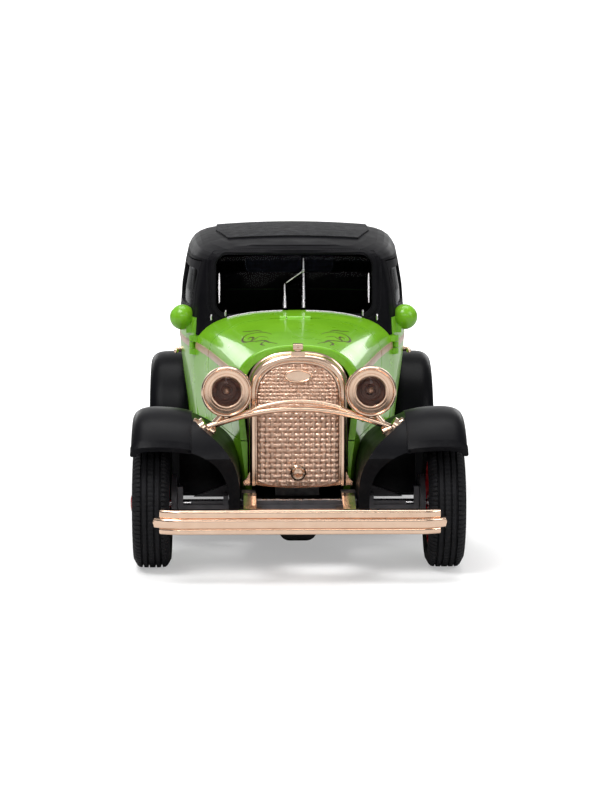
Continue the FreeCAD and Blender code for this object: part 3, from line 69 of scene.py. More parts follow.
PLUGS, PLUG_FIRST_Y, PLUG_PITCH = 4, -42.0, 5.2
DIAL_MARKS, NEEDLE_TURN = 9, 2.2  # the turn in radians
OUTSIDE = 60  # rays that look for a surface start this far out

# ---- light and camera, in metres, watts and degrees, with the lens in millimetres ----
# A light is its name, place, aim, size and watts. A ramp is (position, level) stops.
LIGHTS = [("key", (-0.22, -0.25, 0.55), (0, 0.0, 0.02), (0.32, 0.26), 2.7),
          ("fill", (0.45, -0.30, 0.35), (0, -0.02, 0.03), (0.26, 0.26), 0.9),
          ("top", (0.0, 0.15, 0.60), (0, 0.0, 0.02), (0.50, 0.34), 2.0),
          ("front", (0.0, -0.75, 0.34), (0, -0.05, 0.03), (0.60, 0.14), 0.95),
          ("behind_left", (0.27, 0.70, 0.20), (0, -0.03, 0.04), (0.20, 0.16), 0.28),
          ("behind_right", (-0.27, 0.70, 0.20), (0, -0.03, 0.04), (0.20, 0.16), 0.28)]
ROOM_LIGHT = [(0.0, 0.25), (0.46, 0.04), (0.56, 0.08), (0.68, 0.32), (1.0, 0.42)]
BACKDROP = [(0.0, 0.0), (0.80, 0.0), (0.93, 0.75), (1.0, 0.85)]
# Floor glow by distance from the car's centre, in metres; the dimmer levels near the car paint a shadow
# round it.
FLOOR_GLOW_PAINTED_SHADOW = [(0.0, 0.34), (0.10, 0.42), (0.20, 0.70), (0.32, 1.0), (0.6, 1.05)]
WORLD_SEEN = 1.3
FLOOR_REACH = 6.0
CAMERA_PLACE, CAMERA_DOWN, CAMERA_TURN, CAMERA_LENS = (-0.0087, -0.545, 0.0956), 7.375, -1.0, 120.5


# ---- camera, light and floor -------------------------------------------------
def camera():
    """Long lens a little above the front of the car."""
    data = bpy.data.cameras.new("camera")
    data.lens = CAMERA_LENS
    data.sensor_width = 36.0
    data.clip_start = 0.01
    obj = bpy.data.objects.new("camera", data)
    bpy.context.scene.collection.objects.link(obj)
    obj.location = CAMERA_PLACE
    obj.rotation_euler = (math.radians(90 - CAMERA_DOWN), 0, math.radians(CAMERA_TURN))
    bpy.context.scene.camera = obj


def area_light(name, place, aim, size, watts):
    """Rectangular light that faces a point."""
    data = bpy.data.lights.new(name, "AREA")
    data.shape = "RECTANGLE"
    data.size, data.size_y = size
    data.energy = watts
    obj = bpy.data.objects.new(name, data)
    bpy.context.scene.collection.objects.link(obj)
    obj.location = place
    look = Vector(aim) - Vector(place)
    obj.rotation_euler = look.to_track_quat("-Z", "Y").to_euler()


def camera_share(tree, seen, reflected):
    """`seen` on what the camera looks straight at, `reflected` in reflections; numbers or sockets."""
    path = tree.nodes.new("ShaderNodeLightPath")
    mix = tree.nodes.new("ShaderNodeMix")
    for socket, value in (("A", reflected), ("B", seen)):
        if isinstance(value, float):
            mix.inputs[socket].default_value = value
        else:
            tree.links.new(value, mix.inputs[socket])
    tree.links.new(path.outputs["Is Camera Ray"], mix.inputs["Factor"])
    return mix.outputs["Result"]


def ramp(tree, value, stops):
    """Grey level read from (position, level) stops."""
    band = tree.nodes.new("ShaderNodeValToRGB")
    band.color_ramp.elements.remove(band.color_ramp.elements[1])
    for k, (place, grey) in enumerate(stops):
        stop = band.color_ramp.elements[0] if k == 0 else band.color_ramp.elements.new(place)
        stop.position = place
        stop.color = (grey, grey, grey, 1)
    tree.links.new(value, band.inputs["Fac"])
    return band.outputs["Color"]


def room():
    """White room with its lights; reflections see a dark low band, a soft ceiling and a lit wall behind."""
    bpy.context.scene.view_settings.view_transform = "Standard"
    world = bpy.data.worlds.new("studio")
    world.use_nodes = True
    tree = world.node_tree
    background = tree.nodes["Background"]
    background.inputs["Color"].default_value = (1.0, 1.0, 1.0, 1)
    split = node(tree, "ShaderNodeSeparateXYZ")
    tree.links.new(node(tree, "ShaderNodeTexCoord").outputs["Generated"], split.inputs[0])
    ceiling = ramp(tree, spread(tree, split.outputs["Z"], 0, 1, -1, 1), ROOM_LIGHT)
    behind = ramp(tree, split.outputs["Y"], BACKDROP)
    both = node(tree, "ShaderNodeMath", operation="ADD")
    tree.links.new(ceiling, both.inputs[0])
    tree.links.new(behind, both.inputs[1])
    tree.links.new(camera_share(tree, WORLD_SEEN, both.outputs[0]), background.inputs["Strength"])
    bpy.context.scene.world = world
    for name, place, aim, size, watts in LIGHTS:
        area_light(name, place, aim, size, watts)


def floor():
    """White paper that glows for the camera, less near the car: a painted shadow round the car, so that its
    shadow shows.
    """
    span = FLOOR_REACH
    data = bpy.data.meshes.new("floor")
    data.from_pydata([(-span, -span, 0), (span, -span, 0), (span, span, 0), (-span, span, 0)], [],
                     [(0, 1, 2, 3)])
    sheet = bpy.data.objects.new("floor", data)
    bpy.context.scene.collection.objects.link(sheet)
    paper = bpy.data.materials.new("floor_paper")
    paper.use_nodes = True
    tree = paper.node_tree
    shader = tree.nodes["Principled BSDF"]
    shader.inputs["Base Color"].default_value = (0.62, 0.62, 0.62, 1)
    shader.inputs["Roughness"].default_value = 0.7
    shader.inputs["Specular IOR Level"].default_value = 0.1
    shader.inputs["Emission Color"].default_value = (1, 1, 1, 1)
    away = node(tree, "ShaderNodeVectorMath", operation="LENGTH")
    tree.links.new(node(tree, "ShaderNodeTexCoord").outputs["Object"], away.inputs[0])
    # Painted shadow: the paper's glow dims towards the car.
    painted_shadow_glow = ramp(tree, away.outputs["Value"], FLOOR_GLOW_PAINTED_SHADOW)
    tree.links.new(camera_share(tree, painted_shadow_glow, 0.0), shader.inputs["Emission Strength"])
    sheet.data.materials.append(paper)


# ---- materials ------------------------------------------------------------------
def node(tree, kind, **values):
    """New node; a value sets the node's own property of that name, or else its input socket."""
    new = tree.nodes.new(kind)
    for key, value in values.items():
        if hasattr(new, key):
            setattr(new, key, value)
        else:
            new.inputs[key.replace("_", " ").title()].default_value = value
    return new


def grain(tree, place, size, detail=4.0, kind="ShaderNodeTexNoise"):
    """Texture value with features `size` millimetres across."""
    texture = node(tree, kind, Scale=1.0 / (size * MM))
    if kind == "ShaderNodeTexNoise":
        texture.inputs["Detail"].default_value = detail
    tree.links.new(place.outputs["Object"], texture.inputs["Vector"])
    return texture.outputs["Distance" if kind == "ShaderNodeTexVoronoi" else "Fac"]


def spread(tree, value, low, high, start=0.3, end=0.7):
    """Maps `start` to `end` onto `low` to `high`."""
    out = node(tree, "ShaderNodeMapRange")
    for key, number in (("From Min", start), ("From Max", end), ("To Min", low), ("To Max", high)):
        out.inputs[key].default_value = number
    tree.links.new(value, out.inputs["Value"])
    return out.outputs["Result"]


def blend_colour(tree, factor, first, second):
    """Mix of two colours, each a tuple or a socket."""
    mix = node(tree, "ShaderNodeMix", data_type="RGBA")
    tree.links.new(factor, mix.inputs["Factor"])
    for socket, colour in (("A_Color", first), ("B_Color", second)):
        target = next(s for s in mix.inputs if s.identifier == socket)
        if isinstance(colour, tuple):
            target.default_value = (*colour, 1)
        else:
            tree.links.new(colour, target)
    return next(s for s in mix.outputs if s.identifier == "Result_Color")


def finish(name, colour, shade, patch=4.0, rough=(0.3, 0.4), bump=0.0, bump_size=0.5, cells=False,
           edge_tint=None, edge_tint_amount=0.0, metallic=0.0, coat=0.0, specular=0.5, transmission=0.0, ior=1.5,
           sheen=0.0):
    """Procedural finish: patchy colour and roughness, a fine surface texture and a lighter tint on sharp
    edges.
    """
    mat = bpy.data.materials.new(name)
    mat.use_nodes = True
    tree = mat.node_tree
    shader = tree.nodes["Principled BSDF"]
    place = node(tree, "ShaderNodeTexCoord")
    fixed = {"Metallic": metallic, "Coat Weight": coat, "Coat Roughness": 0.04, "IOR": ior,
             "Specular IOR Level": specular, "Transmission Weight": transmission, "Sheen Weight": sheen}
    for key, value in fixed.items():
        shader.inputs[key].default_value = value
    body = blend_colour(tree, spread(tree, grain(tree, place, patch), 0, 1), shade, colour)
    # Sharp convex edges, in noisy patches, blend towards a lighter tint of the colour.
    if edge_tint:
        edge = node(tree, "ShaderNodeNewGeometry").outputs["Pointiness"]
        edge_mask = node(tree, "ShaderNodeMath", operation="MULTIPLY")
        tree.links.new(spread(tree, edge, 0, edge_tint_amount, 0.53, 0.60), edge_mask.inputs[0])
        tree.links.new(spread(tree, grain(tree, place, 0.8), 0.2, 1), edge_mask.inputs[1])
        body = blend_colour(tree, edge_mask.outputs[0], body, edge_tint)
    tree.links.new(body, shader.inputs["Base Color"])
    tree.links.new(spread(tree, grain(tree, place, patch * 0.6, 6.0), rough[0], rough[1]),
                   shader.inputs["Roughness"])
    if bump:
        kind = "ShaderNodeTexVoronoi" if cells else "ShaderNodeTexNoise"
        relief = node(tree, "ShaderNodeBump", Strength=min(1.0, bump * 5), Distance=bump * MM)
        tree.links.new(grain(tree, place, bump_size, kind=kind), relief.inputs["Height"])
        tree.links.new(relief.outputs["Normal"], shader.inputs["Normal"])
    return mat


def paint_hollow_shade(mat, near_y, far_y, dark):
    """Painted shade: darkens a finish towards the back of a relief that faces the front, where shade falls
    in its hollows.
    """
    tree = mat.node_tree
    shader = tree.nodes["Principled BSDF"]
    split = node(tree, "ShaderNodeSeparateXYZ")
    tree.links.new(node(tree, "ShaderNodeTexCoord").outputs["Object"], split.inputs[0])
    depth = spread(tree, split.outputs["Y"], 0, 1, near_y * MM, far_y * MM)
    lit = shader.inputs["Base Color"].links[0].from_socket
    tree.links.new(blend_colour(tree, depth, lit, dark), shader.inputs["Base Color"])


PAINT = dict(bump=0.02, bump_size=1.6)
MATS = {
    "body_paint": finish("green_paint", (0.19, 0.47, 0.014), (0.15, 0.40, 0.011), 9.0, (0.26, 0.34),
                         coat=0.35, edge_tint=(0.20, 0.55, 0.05), edge_tint_amount=0.4, specular=0.25, **PAINT),
    "roof_paint": finish("roof_black", (0.0050, 0.0046, 0.0062), (0.003, 0.003, 0.004), 6.0, (0.42, 0.52),
                         edge_tint=(0.016, 0.016, 0.018), edge_tint_amount=0.5, specular=0.05, **PAINT),
    "roof_vinyl": finish("roof_vinyl", (0.008, 0.008, 0.010), (0.004, 0.004, 0.005), 3.0, (0.55, 0.70),
                         bump=0.12, bump_size=0.45, cells=True, specular=0.16),
    "fender_paint": finish("fender_black", (0.0034, 0.0034, 0.0046), (0.002, 0.002, 0.003), 8.0,
                           (0.30, 0.40), edge_tint=(0.014, 0.014, 0.015), edge_tint_amount=0.5, specular=0.06, **PAINT),
    "plated_trim": finish("rose_plating", (0.84, 0.61, 0.46), (0.76, 0.53, 0.39), 3.0, (0.13, 0.22),
                          bump=0.01, bump_size=0.8, metallic=1.0, edge_tint=(0.92, 0.70, 0.54), edge_tint_amount=0.5),
    "plated_mesh": finish("rose_mesh", (0.80, 0.57, 0.44), (0.66, 0.44, 0.33), 1.4, (0.26, 0.40),
                          bump=0.05, bump_size=0.3, metallic=0.85),
    "reflector": finish("reflector_brown", (0.23, 0.105, 0.075), (0.15, 0.066, 0.046), 1.5, (0.26, 0.40),
                        bump=0.02, bump_size=0.4, coat=0.25),
    "lens_glass": finish("lens_glass", (0.80, 0.72, 0.68), (0.74, 0.66, 0.62), 2.0, (0.0, 0.04),
                         transmission=1.0, ior=1.25, specular=0.3),
    "window_glass": finish("window_glass", (0.06, 0.065, 0.08), (0.05, 0.055, 0.065), 8.0, (0.0, 0.03),
                           transmission=1.0, ior=1.08, specular=0.3),
    "mirror_glass": finish("mirror_glass", (0.72, 0.75, 0.78), (0.66, 0.69, 0.72), 2.0, (0.03, 0.07),
                           metallic=1.0),
    "tyre_rubber": finish("tyre_rubber", (0.008, 0.008, 0.010), (0.005, 0.005, 0.006), 2.0, (0.60, 0.75),
                          bump=0.05, bump_size=0.25, specular=0.18, edge_tint=(0.018, 0.018, 0.018), edge_tint_amount=0.6),
    "mat_rubber": finish("mat_rubber", (0.009, 0.009, 0.010), (0.006, 0.006, 0.006), 1.2, (0.55, 0.7),
                         bump=0.04, bump_size=0.3, specular=0.2),
    "wheel_red": finish("wheel_red", (0.36, 0.006, 0.014), (0.26, 0.004, 0.010), 3.0, (0.22, 0.32),
                        coat=0.5, bump=0.01, bump_size=0.6, edge_tint=(0.45, 0.06, 0.05), edge_tint_amount=0.5),
    "steel": finish("steel", (0.66, 0.64, 0.65), (0.54, 0.53, 0.54), 1.5, (0.20, 0.34), bump=0.01,
                    bump_size=0.3, metallic=1.0),
    "grey_metal": finish("grey_metal", (0.075, 0.073, 0.080), (0.050, 0.048, 0.054), 2.0, (0.40, 0.54),
                         bump=0.04, bump_size=0.35, metallic=0.3),
    "chassis_plastic": finish("chassis_plastic", (0.010, 0.010, 0.011), (0.006, 0.006, 0.007), 2.5,
                              (0.5, 0.65), bump=0.05, bump_size=0.3, specular=0.2),
    "interior_plastic": finish("interior_plastic", (0.012, 0.011, 0.011), (0.007, 0.007, 0.007), 2.0,
                               (0.60, 0.75), bump=0.03, bump_size=0.5, specular=0.12),
    "control_plastic": finish("control_plastic", (0.02, 0.019, 0.019), (0.012, 0.011, 0.011), 2.0,
                              (0.3, 0.45), bump=0.02, bump_size=0.3, specular=0.3),
    "seat_leather": finish("seat_leather", (0.20, 0.085, 0.042), (0.13, 0.052, 0.026), 2.5, (0.42, 0.58),
                           bump=0.06, bump_size=0.5, cells=True, edge_tint=(0.30, 0.15, 0.08), edge_tint_amount=0.6,
                           sheen=0.1),
    "engine_metal": finish("engine_metal", (0.34, 0.34, 0.35), (0.22, 0.22, 0.23), 1.5, (0.35, 0.5),
                           bump=0.06, bump_size=0.3, metallic=0.8),
    "tail_lamp": finish("tail_lamp_red", (0.50, 0.012, 0.010), (0.36, 0.008, 0.006), 1.5, (0.08, 0.16),
                        coat=0.8, transmission=0.2),
    "pinstripe": finish("pinstripe_maroon", (0.060, 0.016, 0.008), (0.035, 0.010, 0.006), 1.0, (0.3, 0.4)),
    "belt_line": finish("belt_line_rose", (0.56, 0.36, 0.22), (0.48, 0.30, 0.18), 2.0, (0.28, 0.38),
                        bump=0.01, bump_size=0.8, metallic=0.3, coat=0.3),
    "dial": finish("dial_cream", (0.62, 0.58, 0.48), (0.52, 0.48, 0.40), 0.8, (0.4, 0.5)),
}
# Painted shade in the grille weave's hollows, between and behind its wires.
paint_hollow_shade(MATS["plated_mesh"], -53.10, -52.82, (0.27, 0.15, 0.11))


def put(key, *names):
    """Gives CAD nodes a finish and smooth shading."""
    for name in names:
        data = NODES[name].data
        data.materials.clear()
        data.materials.append(MATS[key])
        data.polygons.foreach_set("use_smooth", [True] * len(data.polygons))
        sharpen(data)


def sharpen(data, angle=math.radians(38)):
    """Marks the edges that stay crisp on a smoothly shaded mesh."""
    work = bmesh.new()
    work.from_mesh(data)
    flags = [edge.calc_face_angle(4.0) > angle for edge in work.edges]
    work.free()
    attribute = data.attributes.get("sharp_edge")
    if attribute is None:
        attribute = data.attributes.new("sharp_edge", "BOOLEAN", "EDGE")
    attribute.data.foreach_set("value", flags)


# ---- mesh building -----------------------------------------------------------------
class Form:
    """Collects vertices and faces, in millimetres, and makes one object of them."""

    def __init__(self):
        self.verts, self.faces = [], []

    def loft(self, rings, closed_path=False):
        """Skin over rings of equal count, capped unless the last ring joins the first."""
        base, count = len(self.verts), len(rings[0])
        for ring in rings:
            self.verts += [tuple(p) for p in ring]
        last = len(rings) if closed_path else len(rings) - 1
        for i in range(last):
            a, b = base + i * count, base + (i + 1) % len(rings) * count
            for j in range(count):
                k = (j + 1) % count
                self.faces.append((a + j, a + k, b + k, b + j))
        if not closed_path:
            self.faces.append(tuple(base + j for j in reversed(range(count))))
            end = base + (len(rings) - 1) * count
            self.faces.append(tuple(end + j for j in range(count)))

    def lathe(self, profile, centre, axis, segments=64):
        """Closed profile of (radius, distance along the axis), turned about the axis."""
        axis = axis.normalized()
        first = axis.orthogonal().normalized()
        second = axis.cross(first)
        rings = []
        for step in range(segments):
            turn = 2 * math.pi * step / segments
            out = first * math.cos(turn) + second * math.sin(turn)
            rings.append([centre + out * r + axis * a for r, a in profile])
        self.loft(rings, closed_path=True)

    def tube(self, path, radius, sides=10, closed=False):
        """Round rod along a path; radius is a number or one number for each point."""
        path = [Vector(p) for p in path]
        radii = radius if isinstance(radius, list) else [radius] * len(path)
        rings, up = [], None
        for i, point in enumerate(path):
            ahead = path[(i + 1) % len(path)] if closed or i + 1 < len(path) else point
            behind = path[i - 1] if closed or i > 0 else point
            tangent = (ahead - behind).normalized()
            up = tangent.orthogonal() if up is None else up - tangent * up.dot(tangent)
            up.normalize()
            side = tangent.cross(up)
            rings.append([point + (up * math.cos(t) + side * math.sin(t)) * radii[i]
                          for t in (2 * math.pi * k / sides for k in range(sides))])
        self.loft(rings, closed_path=closed)

    def strip(self, path, width, thick, sink=0.12, closed=False, taper=0.0):
        """Low moulding that lies on a surface along (point, normal) pairs."""
        rings = []
        for i, (point, normal) in enumerate(path):
            ahead = path[(i + 1) % len(path)][0] if closed or i + 1 < len(path) else point
            behind = path[i - 1][0] if closed or i > 0 else point
            side = (ahead - behind).cross(normal).normalized()
            run = i / (len(path) - 1)
            half = width / 2 * (1 - taper * abs(2 * run - 1) ** 2)
            rings.append([point + side * (half * a) + normal * b for a, b in
                          ((-1, -sink), (-1, thick * 0.5), (-0.72, thick), (0.72, thick), (1, thick * 0.5),
                           (1, -sink))])
        self.loft(rings, closed_path=closed)

    def block(self, low, high, taper=0.0):
        """Box with its top drawn in by `taper` on each side."""
        (x0, y0, z0), (x1, y1, z1) = low, high
        lower = [(x0, y0, z0), (x1, y0, z0), (x1, y1, z0), (x0, y1, z0)]
        upper = [(x0 + taper, y0 + taper, z1), (x1 - taper, y0 + taper, z1),
                 (x1 - taper, y1 - taper, z1), (x0 + taper, y1 - taper, z1)]
        self.loft([lower, upper])

    def make(self, name, key, body="car", slot=None, bevel=0.0, sharp=38):
        """One object with a finish, which rides on a body."""
        data = bpy.data.meshes.new(name)
        data.from_pydata([[c * MM for c in v] for v in self.verts], [], self.faces)
        work = bmesh.new()
        work.from_mesh(data)
        bmesh.ops.recalc_face_normals(work, faces=work.faces)
        work.to_mesh(data)
        work.free()
        data.materials.append(MATS[key])
        data.polygons.foreach_set("use_smooth", [True] * len(data.polygons))
        obj = bpy.data.objects.new(name, data)
        bpy.context.scene.collection.objects.link(obj)
        if bevel:
            modifier = obj.modifiers.new("edges", "BEVEL")
            modifier.width = bevel * MM
            modifier.segments = 2
            modifier.limit_method = "ANGLE"
        else:
            sharpen(data, math.radians(sharp))
        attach(obj, body)
        return obj


def skin(name):
    """The surface of a CAD node, to lay details on."""
    data = NODES[name].data
    return BVHTree.FromPolygons([v.co / MM for v in data.vertices],
                                [p.vertices[:] for p in data.polygons])


def land(tree, start, direction):
    """Where a line first meets a surface, with the surface's outward normal."""
    start, direction = Vector(start), Vector(direction).normalized()
    place, normal, _, _ = tree.ray_cast(start, direction)
    if place is None:
        return None
    return place, (normal if normal.dot(direction) < 0 else -normal)


def smooth_line(points, steps=8):
    """Catmull-Rom curve through 2-D or 3-D points."""
    points = [Vector(p) for p in points]
    ends = [points[0] * 2 - points[1]] + points + [points[-1] * 2 - points[-2]]
    curve = []
    for a, b, c, d in zip(ends, ends[1:], ends[2:], ends[3:]):
        for step in range(steps):
            t = step / steps
            curve.append(0.5 * (2 * b + (c - a) * t + (2 * a - 5 * b + 4 * c - d) * t * t
                                + (3 * b - a - 3 * c + d) * t ** 3))
    return curve + [points[-1]]


def level(table, at):
    """Value at a place, on straight runs between (place, value) pairs."""
    for (x0, v0), (x1, v1) in zip(table, table[1:]):
        if at <= x1:
            return v0 + (v1 - v0) * max(0.0, (at - x0) / (x1 - x0))
    return table[-1][1]


# ---- wheels ----------------------------------------------------------------------
def tyre_form(form, centre, axis):
    """Tyre with ribbed tread, shoulder blocks and rings on its walls."""
    half = TYRE_HALF
    outline = [(RIM_R, -half + 1.0, 0), (RIM_R + 0.25, -half + 0.55, 0), (RIM_R + 0.5, -half + 0.32, 0),
               (RIM_R + 0.8, -half + 0.30, 0), (RIM_R + 0.9, -half + 0.16, 0),
               (RIM_R + 1.15, -half + 0.16, 0), (RIM_R + 1.25, -half + 0.26, 0),
               (RIM_R + 1.9, -half + 0.10, 0), (RIM_R + 2.0, -half, 0), (RIM_R + 2.2, -half, 0),
               (RIM_R + 2.3, -half + 0.12, 0), (RIM_R + 2.55, -half + 0.22, 0.0),
               (TYRE_R - 1.0, -half + 0.3, 0.35), (TYRE_R - 0.45, -half + 0.62, 0.45),
               (TYRE_R - 0.12, -half + 1.0, 0.45), (TYRE_R - 0.03, -half + 1.5, 0.4),
               (TYRE_R - 0.5, -half + 1.62, 0.0), (TYRE_R - 0.5, -half + 1.82, 0.0),
               (TYRE_R - 0.02, -half + 1.94, 0.0), (TYRE_R, -1.05, 0.0), (TYRE_R, -0.82, 0.3),
               (TYRE_R - 0.45, -0.72, 0.0), (TYRE_R - 0.45, -0.55, 0.0), (TYRE_R, -0.46, 0.3),
               (TYRE_R, 0.0, 0.0)]
    mirror = [(r, -a, d) for r, a, d in reversed(outline[:-1])]
    inner = [(RIM_R - 0.05, half - 1.4, 0), (RIM_R - 0.05, -half + 1.4, 0)]
    profile = outline + mirror + inner
    axis = axis.normalized()
    first = axis.orthogonal().normalized()
    second = axis.cross(first)
    rings = []
    count = TREAD_BLOCKS * STEPS_PER_BLOCK
    for step in range(count):
        turn = 2 * math.pi * step / count
        out = first * math.cos(turn) + second * math.sin(turn)
        cut = TREAD_CUT if step % STEPS_PER_BLOCK == 0 else 0.0
        rings.append([centre + out * (r - d * cut) + axis * a for r, a, d in profile])
    form.loft(rings, closed_path=True)


def tyres():
    """Detailed tyres in place of the four plain ones and the spare."""
    for axle, y in AXLES.items():
        for side, s in SIDES.items():
            form = Form()
            tyre_form(form, Vector((s * TYRE_MID, y, AXLE_Z)), X * s)
            name = f"tyre_{axle}_{side}"
            tyre = form.make(f"{name}_detail", "tyre_rubber", f"{axle}_wheels", sharp=32)
            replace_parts(tyre, name)
    form = Form()
    tyre_form(form, SPARE, Y)
    spare = form.make("spare_tyre_detail", "tyre_rubber", sharp=32)
    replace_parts(spare, "spare_tyre")


def wheel_trims():
    """Plated ring and button on each hub, and the valve on each rim."""
    for axle, y in AXLES.items():
        for side, s in SIDES.items():
            hub = Vector((s * HUB_FACE_X, y, AXLE_Z))
            form = Form()
            form.lathe([(2.35, 0.0), (2.9, 0.0), (2.9, 0.12), (2.6, 0.3), (2.35, 0.12)], hub, X * s, 48)
            form.lathe([(0.0, 0.5), (1.2, 0.5), (1.1, 0.72), (0.6, 0.79), (0.0, 0.8)], hub, X * s, 32)
            form.make(f"hub_trim_{axle}_{side}", "plated_trim", f"{axle}_wheels")
            stem = Form()
            root = Vector((s * VALVE_X, y, AXLE_Z + RIM_R - 0.9))
            stem.tube([root, root + Vector((s * 0.6, 0, -0.3)), root + Vector((s * 1.3, 0, -0.4))],
                      [0.24, 0.2, 0.16], 12)
            stem.make(f"valve_{axle}_{side}", "control_plastic", f"{axle}_wheels")


# ---- front end -----------------------------------------------------------------------
def grille_half_width(z):
    """Half width of the woven panel: straight sides with a rounded crown and a curved foot."""
    if z > CROWN_FROM:
        rise = min(1.0, (z - CROWN_FROM) / CROWN_TALL)
        return GRILLE_HALF * (1 - rise ** 2.5) ** (1 / 2.5)
    if z < FOOT_FROM:
        drop = min(1.0, (FOOT_FROM - z) / FOOT_TALL)
        return GRILLE_HALF * (1 - drop ** 2) ** 0.5
    return GRILLE_HALF


def weave(x, z, pitch, wire, wave):
    """Depth of the woven wires in front of the panel."""
    warp, weft = round(x / pitch), round(z / pitch)
    off_warp, off_weft = x - warp * pitch, z - weft * pitch
    over = math.cos(math.pi * (z / pitch + warp)) * wave
    under = -math.cos(math.pi * (x / pitch + weft)) * wave
    high = math.sqrt(max(0.0, wire ** 2 - off_warp ** 2)) + over
    wide = math.sqrt(max(0.0, wire ** 2 - off_weft ** 2)) + under
    return max(0.0, high if abs(off_warp) < wire else 0.0, wide if abs(off_weft) < wire else 0.0)


def grille_weave():
    """Woven wire panel, finer near its top, whose edges run back into the CAD grille."""
    rng = random.Random(11)
    rows, columns, top, bottom = GRILLE_ROWS, GRILLE_COLUMNS, GRILLE_TOP, GRILLE_BOTTOM
    verts, faces = [], []
    for j in range(rows + 1):
        z = bottom + (top - bottom) * j / rows
        half = max(0.05, grille_half_width(z))
        wires = FINE_WEAVE if z > FINE_FROM else WEAVE
        for i in range(columns + 1):
            x = half * (2 * i / columns - 1)
            rough = rng.uniform(0, TOP_ROUGH if z > TOP_ROUGH_FROM else WEAVE_ROUGH)
            edge = min(1.0, (half - abs(x)) / 0.3, (top - z) / 0.2 + 0.01, (z - bottom) / 0.2 + 0.01)
            relief = (weave(x, z, **wires) + rough) * max(0.0, edge)
            verts.append((x, GRILLE_FACE_Y - 0.03 - relief, z))
    width = columns + 1
    for j in range(rows):
        for i in range(columns):
            a = j * width + i
            faces.append((a, a + 1, a + 1 + width, a + width))
    border = list(range(width)) + [j * width + columns for j in range(1, rows + 1)]
    border += [rows * width + i for i in reversed(range(columns))]
    border += [j * width for j in reversed(range(1, rows))]
    back = len(verts)
    for index in border:
        x, _, z = verts[index]
        verts.append((x, GRILLE_FACE_Y + 0.15, z))
    for k, index in enumerate(border):
        after = (k + 1) % len(border)
        faces.append((index, back + k, back + after, border[after]))
    form = Form()
    form.verts, form.faces = verts, faces
    form.make("grille_weave", "plated_mesh", sharp=60)


def grille_trim():
    """Rolled edge of the blank oval badge, and the crank boss."""
    badge = Form()
    ring = [(2.45 * math.cos(t), -53.42, 35.7 + 1.1 * math.sin(t))
            for t in (2 * math.pi * k / 64 for k in range(64))]
    badge.tube(ring, 0.2, 10, closed=True)
    badge.lathe([(0.0, 0.0), (1.5, 0.0), (1.5, 0.45), (1.2, 0.75), (0.9, 0.62), (0.75, 0.8), (0.0, 0.85)],
                Vector((0, -53.3, 17.5)), -Y, 40)
    badge.make("grille_trim", "plated_trim")


def grille_edge():
    """Thin plated wire round the woven panel."""
    half, y = 8.0, -53.2
    crown = []
    for k in range(81):
        turn = math.pi * k / 80
        across, up = math.cos(turn), math.sin(turn)
        crown.append((half * math.copysign(abs(across) ** 0.8, across), y, 31.3 + 7.2 * up ** 0.8))
    heights = (16.0, 20.0, 26.0)
    path = [(half, y, z) for z in heights] + crown + [(-half, y, z) for z in reversed(heights)]
    edge = Form()
    edge.tube(path, 0.16, 8)
    edge.make("grille_edge", "plated_trim")


def headlamps():
    """Stepped bezels, ringed reflectors and bulbs."""
    bezel = [(4.7, 0.0), (4.7, 0.95), (4.62, 1.25), (4.45, 1.42), (4.28, 1.42), (4.16, 1.3), (4.1, 1.02),
             (3.98, 1.0), (3.94, 1.16), (3.45, 1.1), (3.42, 1.03), (3.36, 1.03), (3.33, 1.09), (3.0, 1.04),
             (2.97, 0.98), (2.92, 0.98), (2.88, 1.1), (2.76, 1.12), (2.66, 1.02), (2.62, 0.8), (2.64, 0.55),
             (2.9, 0.4), (4.3, 0.3), (4.4, 0.0)]
    bowl = [(3.65, 1.9), (3.7, 1.7), (3.5, 1.2), (2.9, 0.55), (1.8, 0.05), (0.0, -0.1), (0.0, 0.12),
            (0.85, 0.16), (0.95, 0.3), (1.05, 0.2), (1.6, 0.3), (1.72, 0.46), (1.84, 0.4), (2.3, 0.72),
            (2.42, 0.9), (2.54, 0.9), (3.0, 1.35), (3.3, 1.75), (3.4, 1.9)]
    bulb = [(0.0, 0.1), (0.55, 0.1), (0.6, 0.4), (0.45, 0.5), (0.5, 0.8), (0.62, 1.15), (0.5, 1.5),
            (0.28, 1.68), (0.0, 1.74)]
    bezels, bowls, bulbs = Form(), Form(), Form()
    for s in (1, -1):
        bezels.lathe(bezel, Vector((s * LAMP_X, BEZEL_Y, LAMP_Z)), -Y, 96)
        bowls.lathe(bowl, Vector((s * LAMP_X, BOWL_Y, LAMP_Z)), -Y, 96)
        bulbs.lathe(bulb, Vector((s * LAMP_X, BOWL_Y, LAMP_Z)), -Y, 32)
    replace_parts(bezels.make("headlight_bezel_rings", "plated_trim"), "headlight_bezels")
    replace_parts(bowls.make("headlight_bowl_rings", "reflector"), "headlight_reflectors")
    bulbs.make("headlight_bulbs", "plated_mesh", slot="reflector")


def hood_bead():
    """Rolled bead round the hood's front edge."""
    tree = skin("hood")
    centre = Vector((0, -48.75, 29.0))
    bead = []
    for k in range(73):
        turn = math.radians(-4 + 188 * k / 72)
        out = Vector((math.cos(turn), 0, math.sin(turn)))
        hit = land(tree, centre + out * 40, -out)
        if hit:
            bead.append(hit[0] - hit[1] * 0.12)
    form = Form()
    form.tube(bead, 0.48, 12)
    form.make("hood_bead", "body_paint", "hood_panel")


def hood_louvres():
    """Row of low upright ribs on each side of the hood."""
    tree = skin("hood")
    louvres = Form()
    for s in (1, -1):
        for k in range(LOUVRES):
            y = LOUVRE_FIRST_Y + LOUVRE_PITCH * k
            path = [land(tree, (s * OUTSIDE, y, 25.5 + 0.75 * j), (-s, 0, 0)) for j in range(10)]
            louvres.strip([hit for hit in path if hit], 1.0, 0.30, 0.3, taper=0.25)
    louvres.make("hood_louvres", "body_paint", "hood_panel")


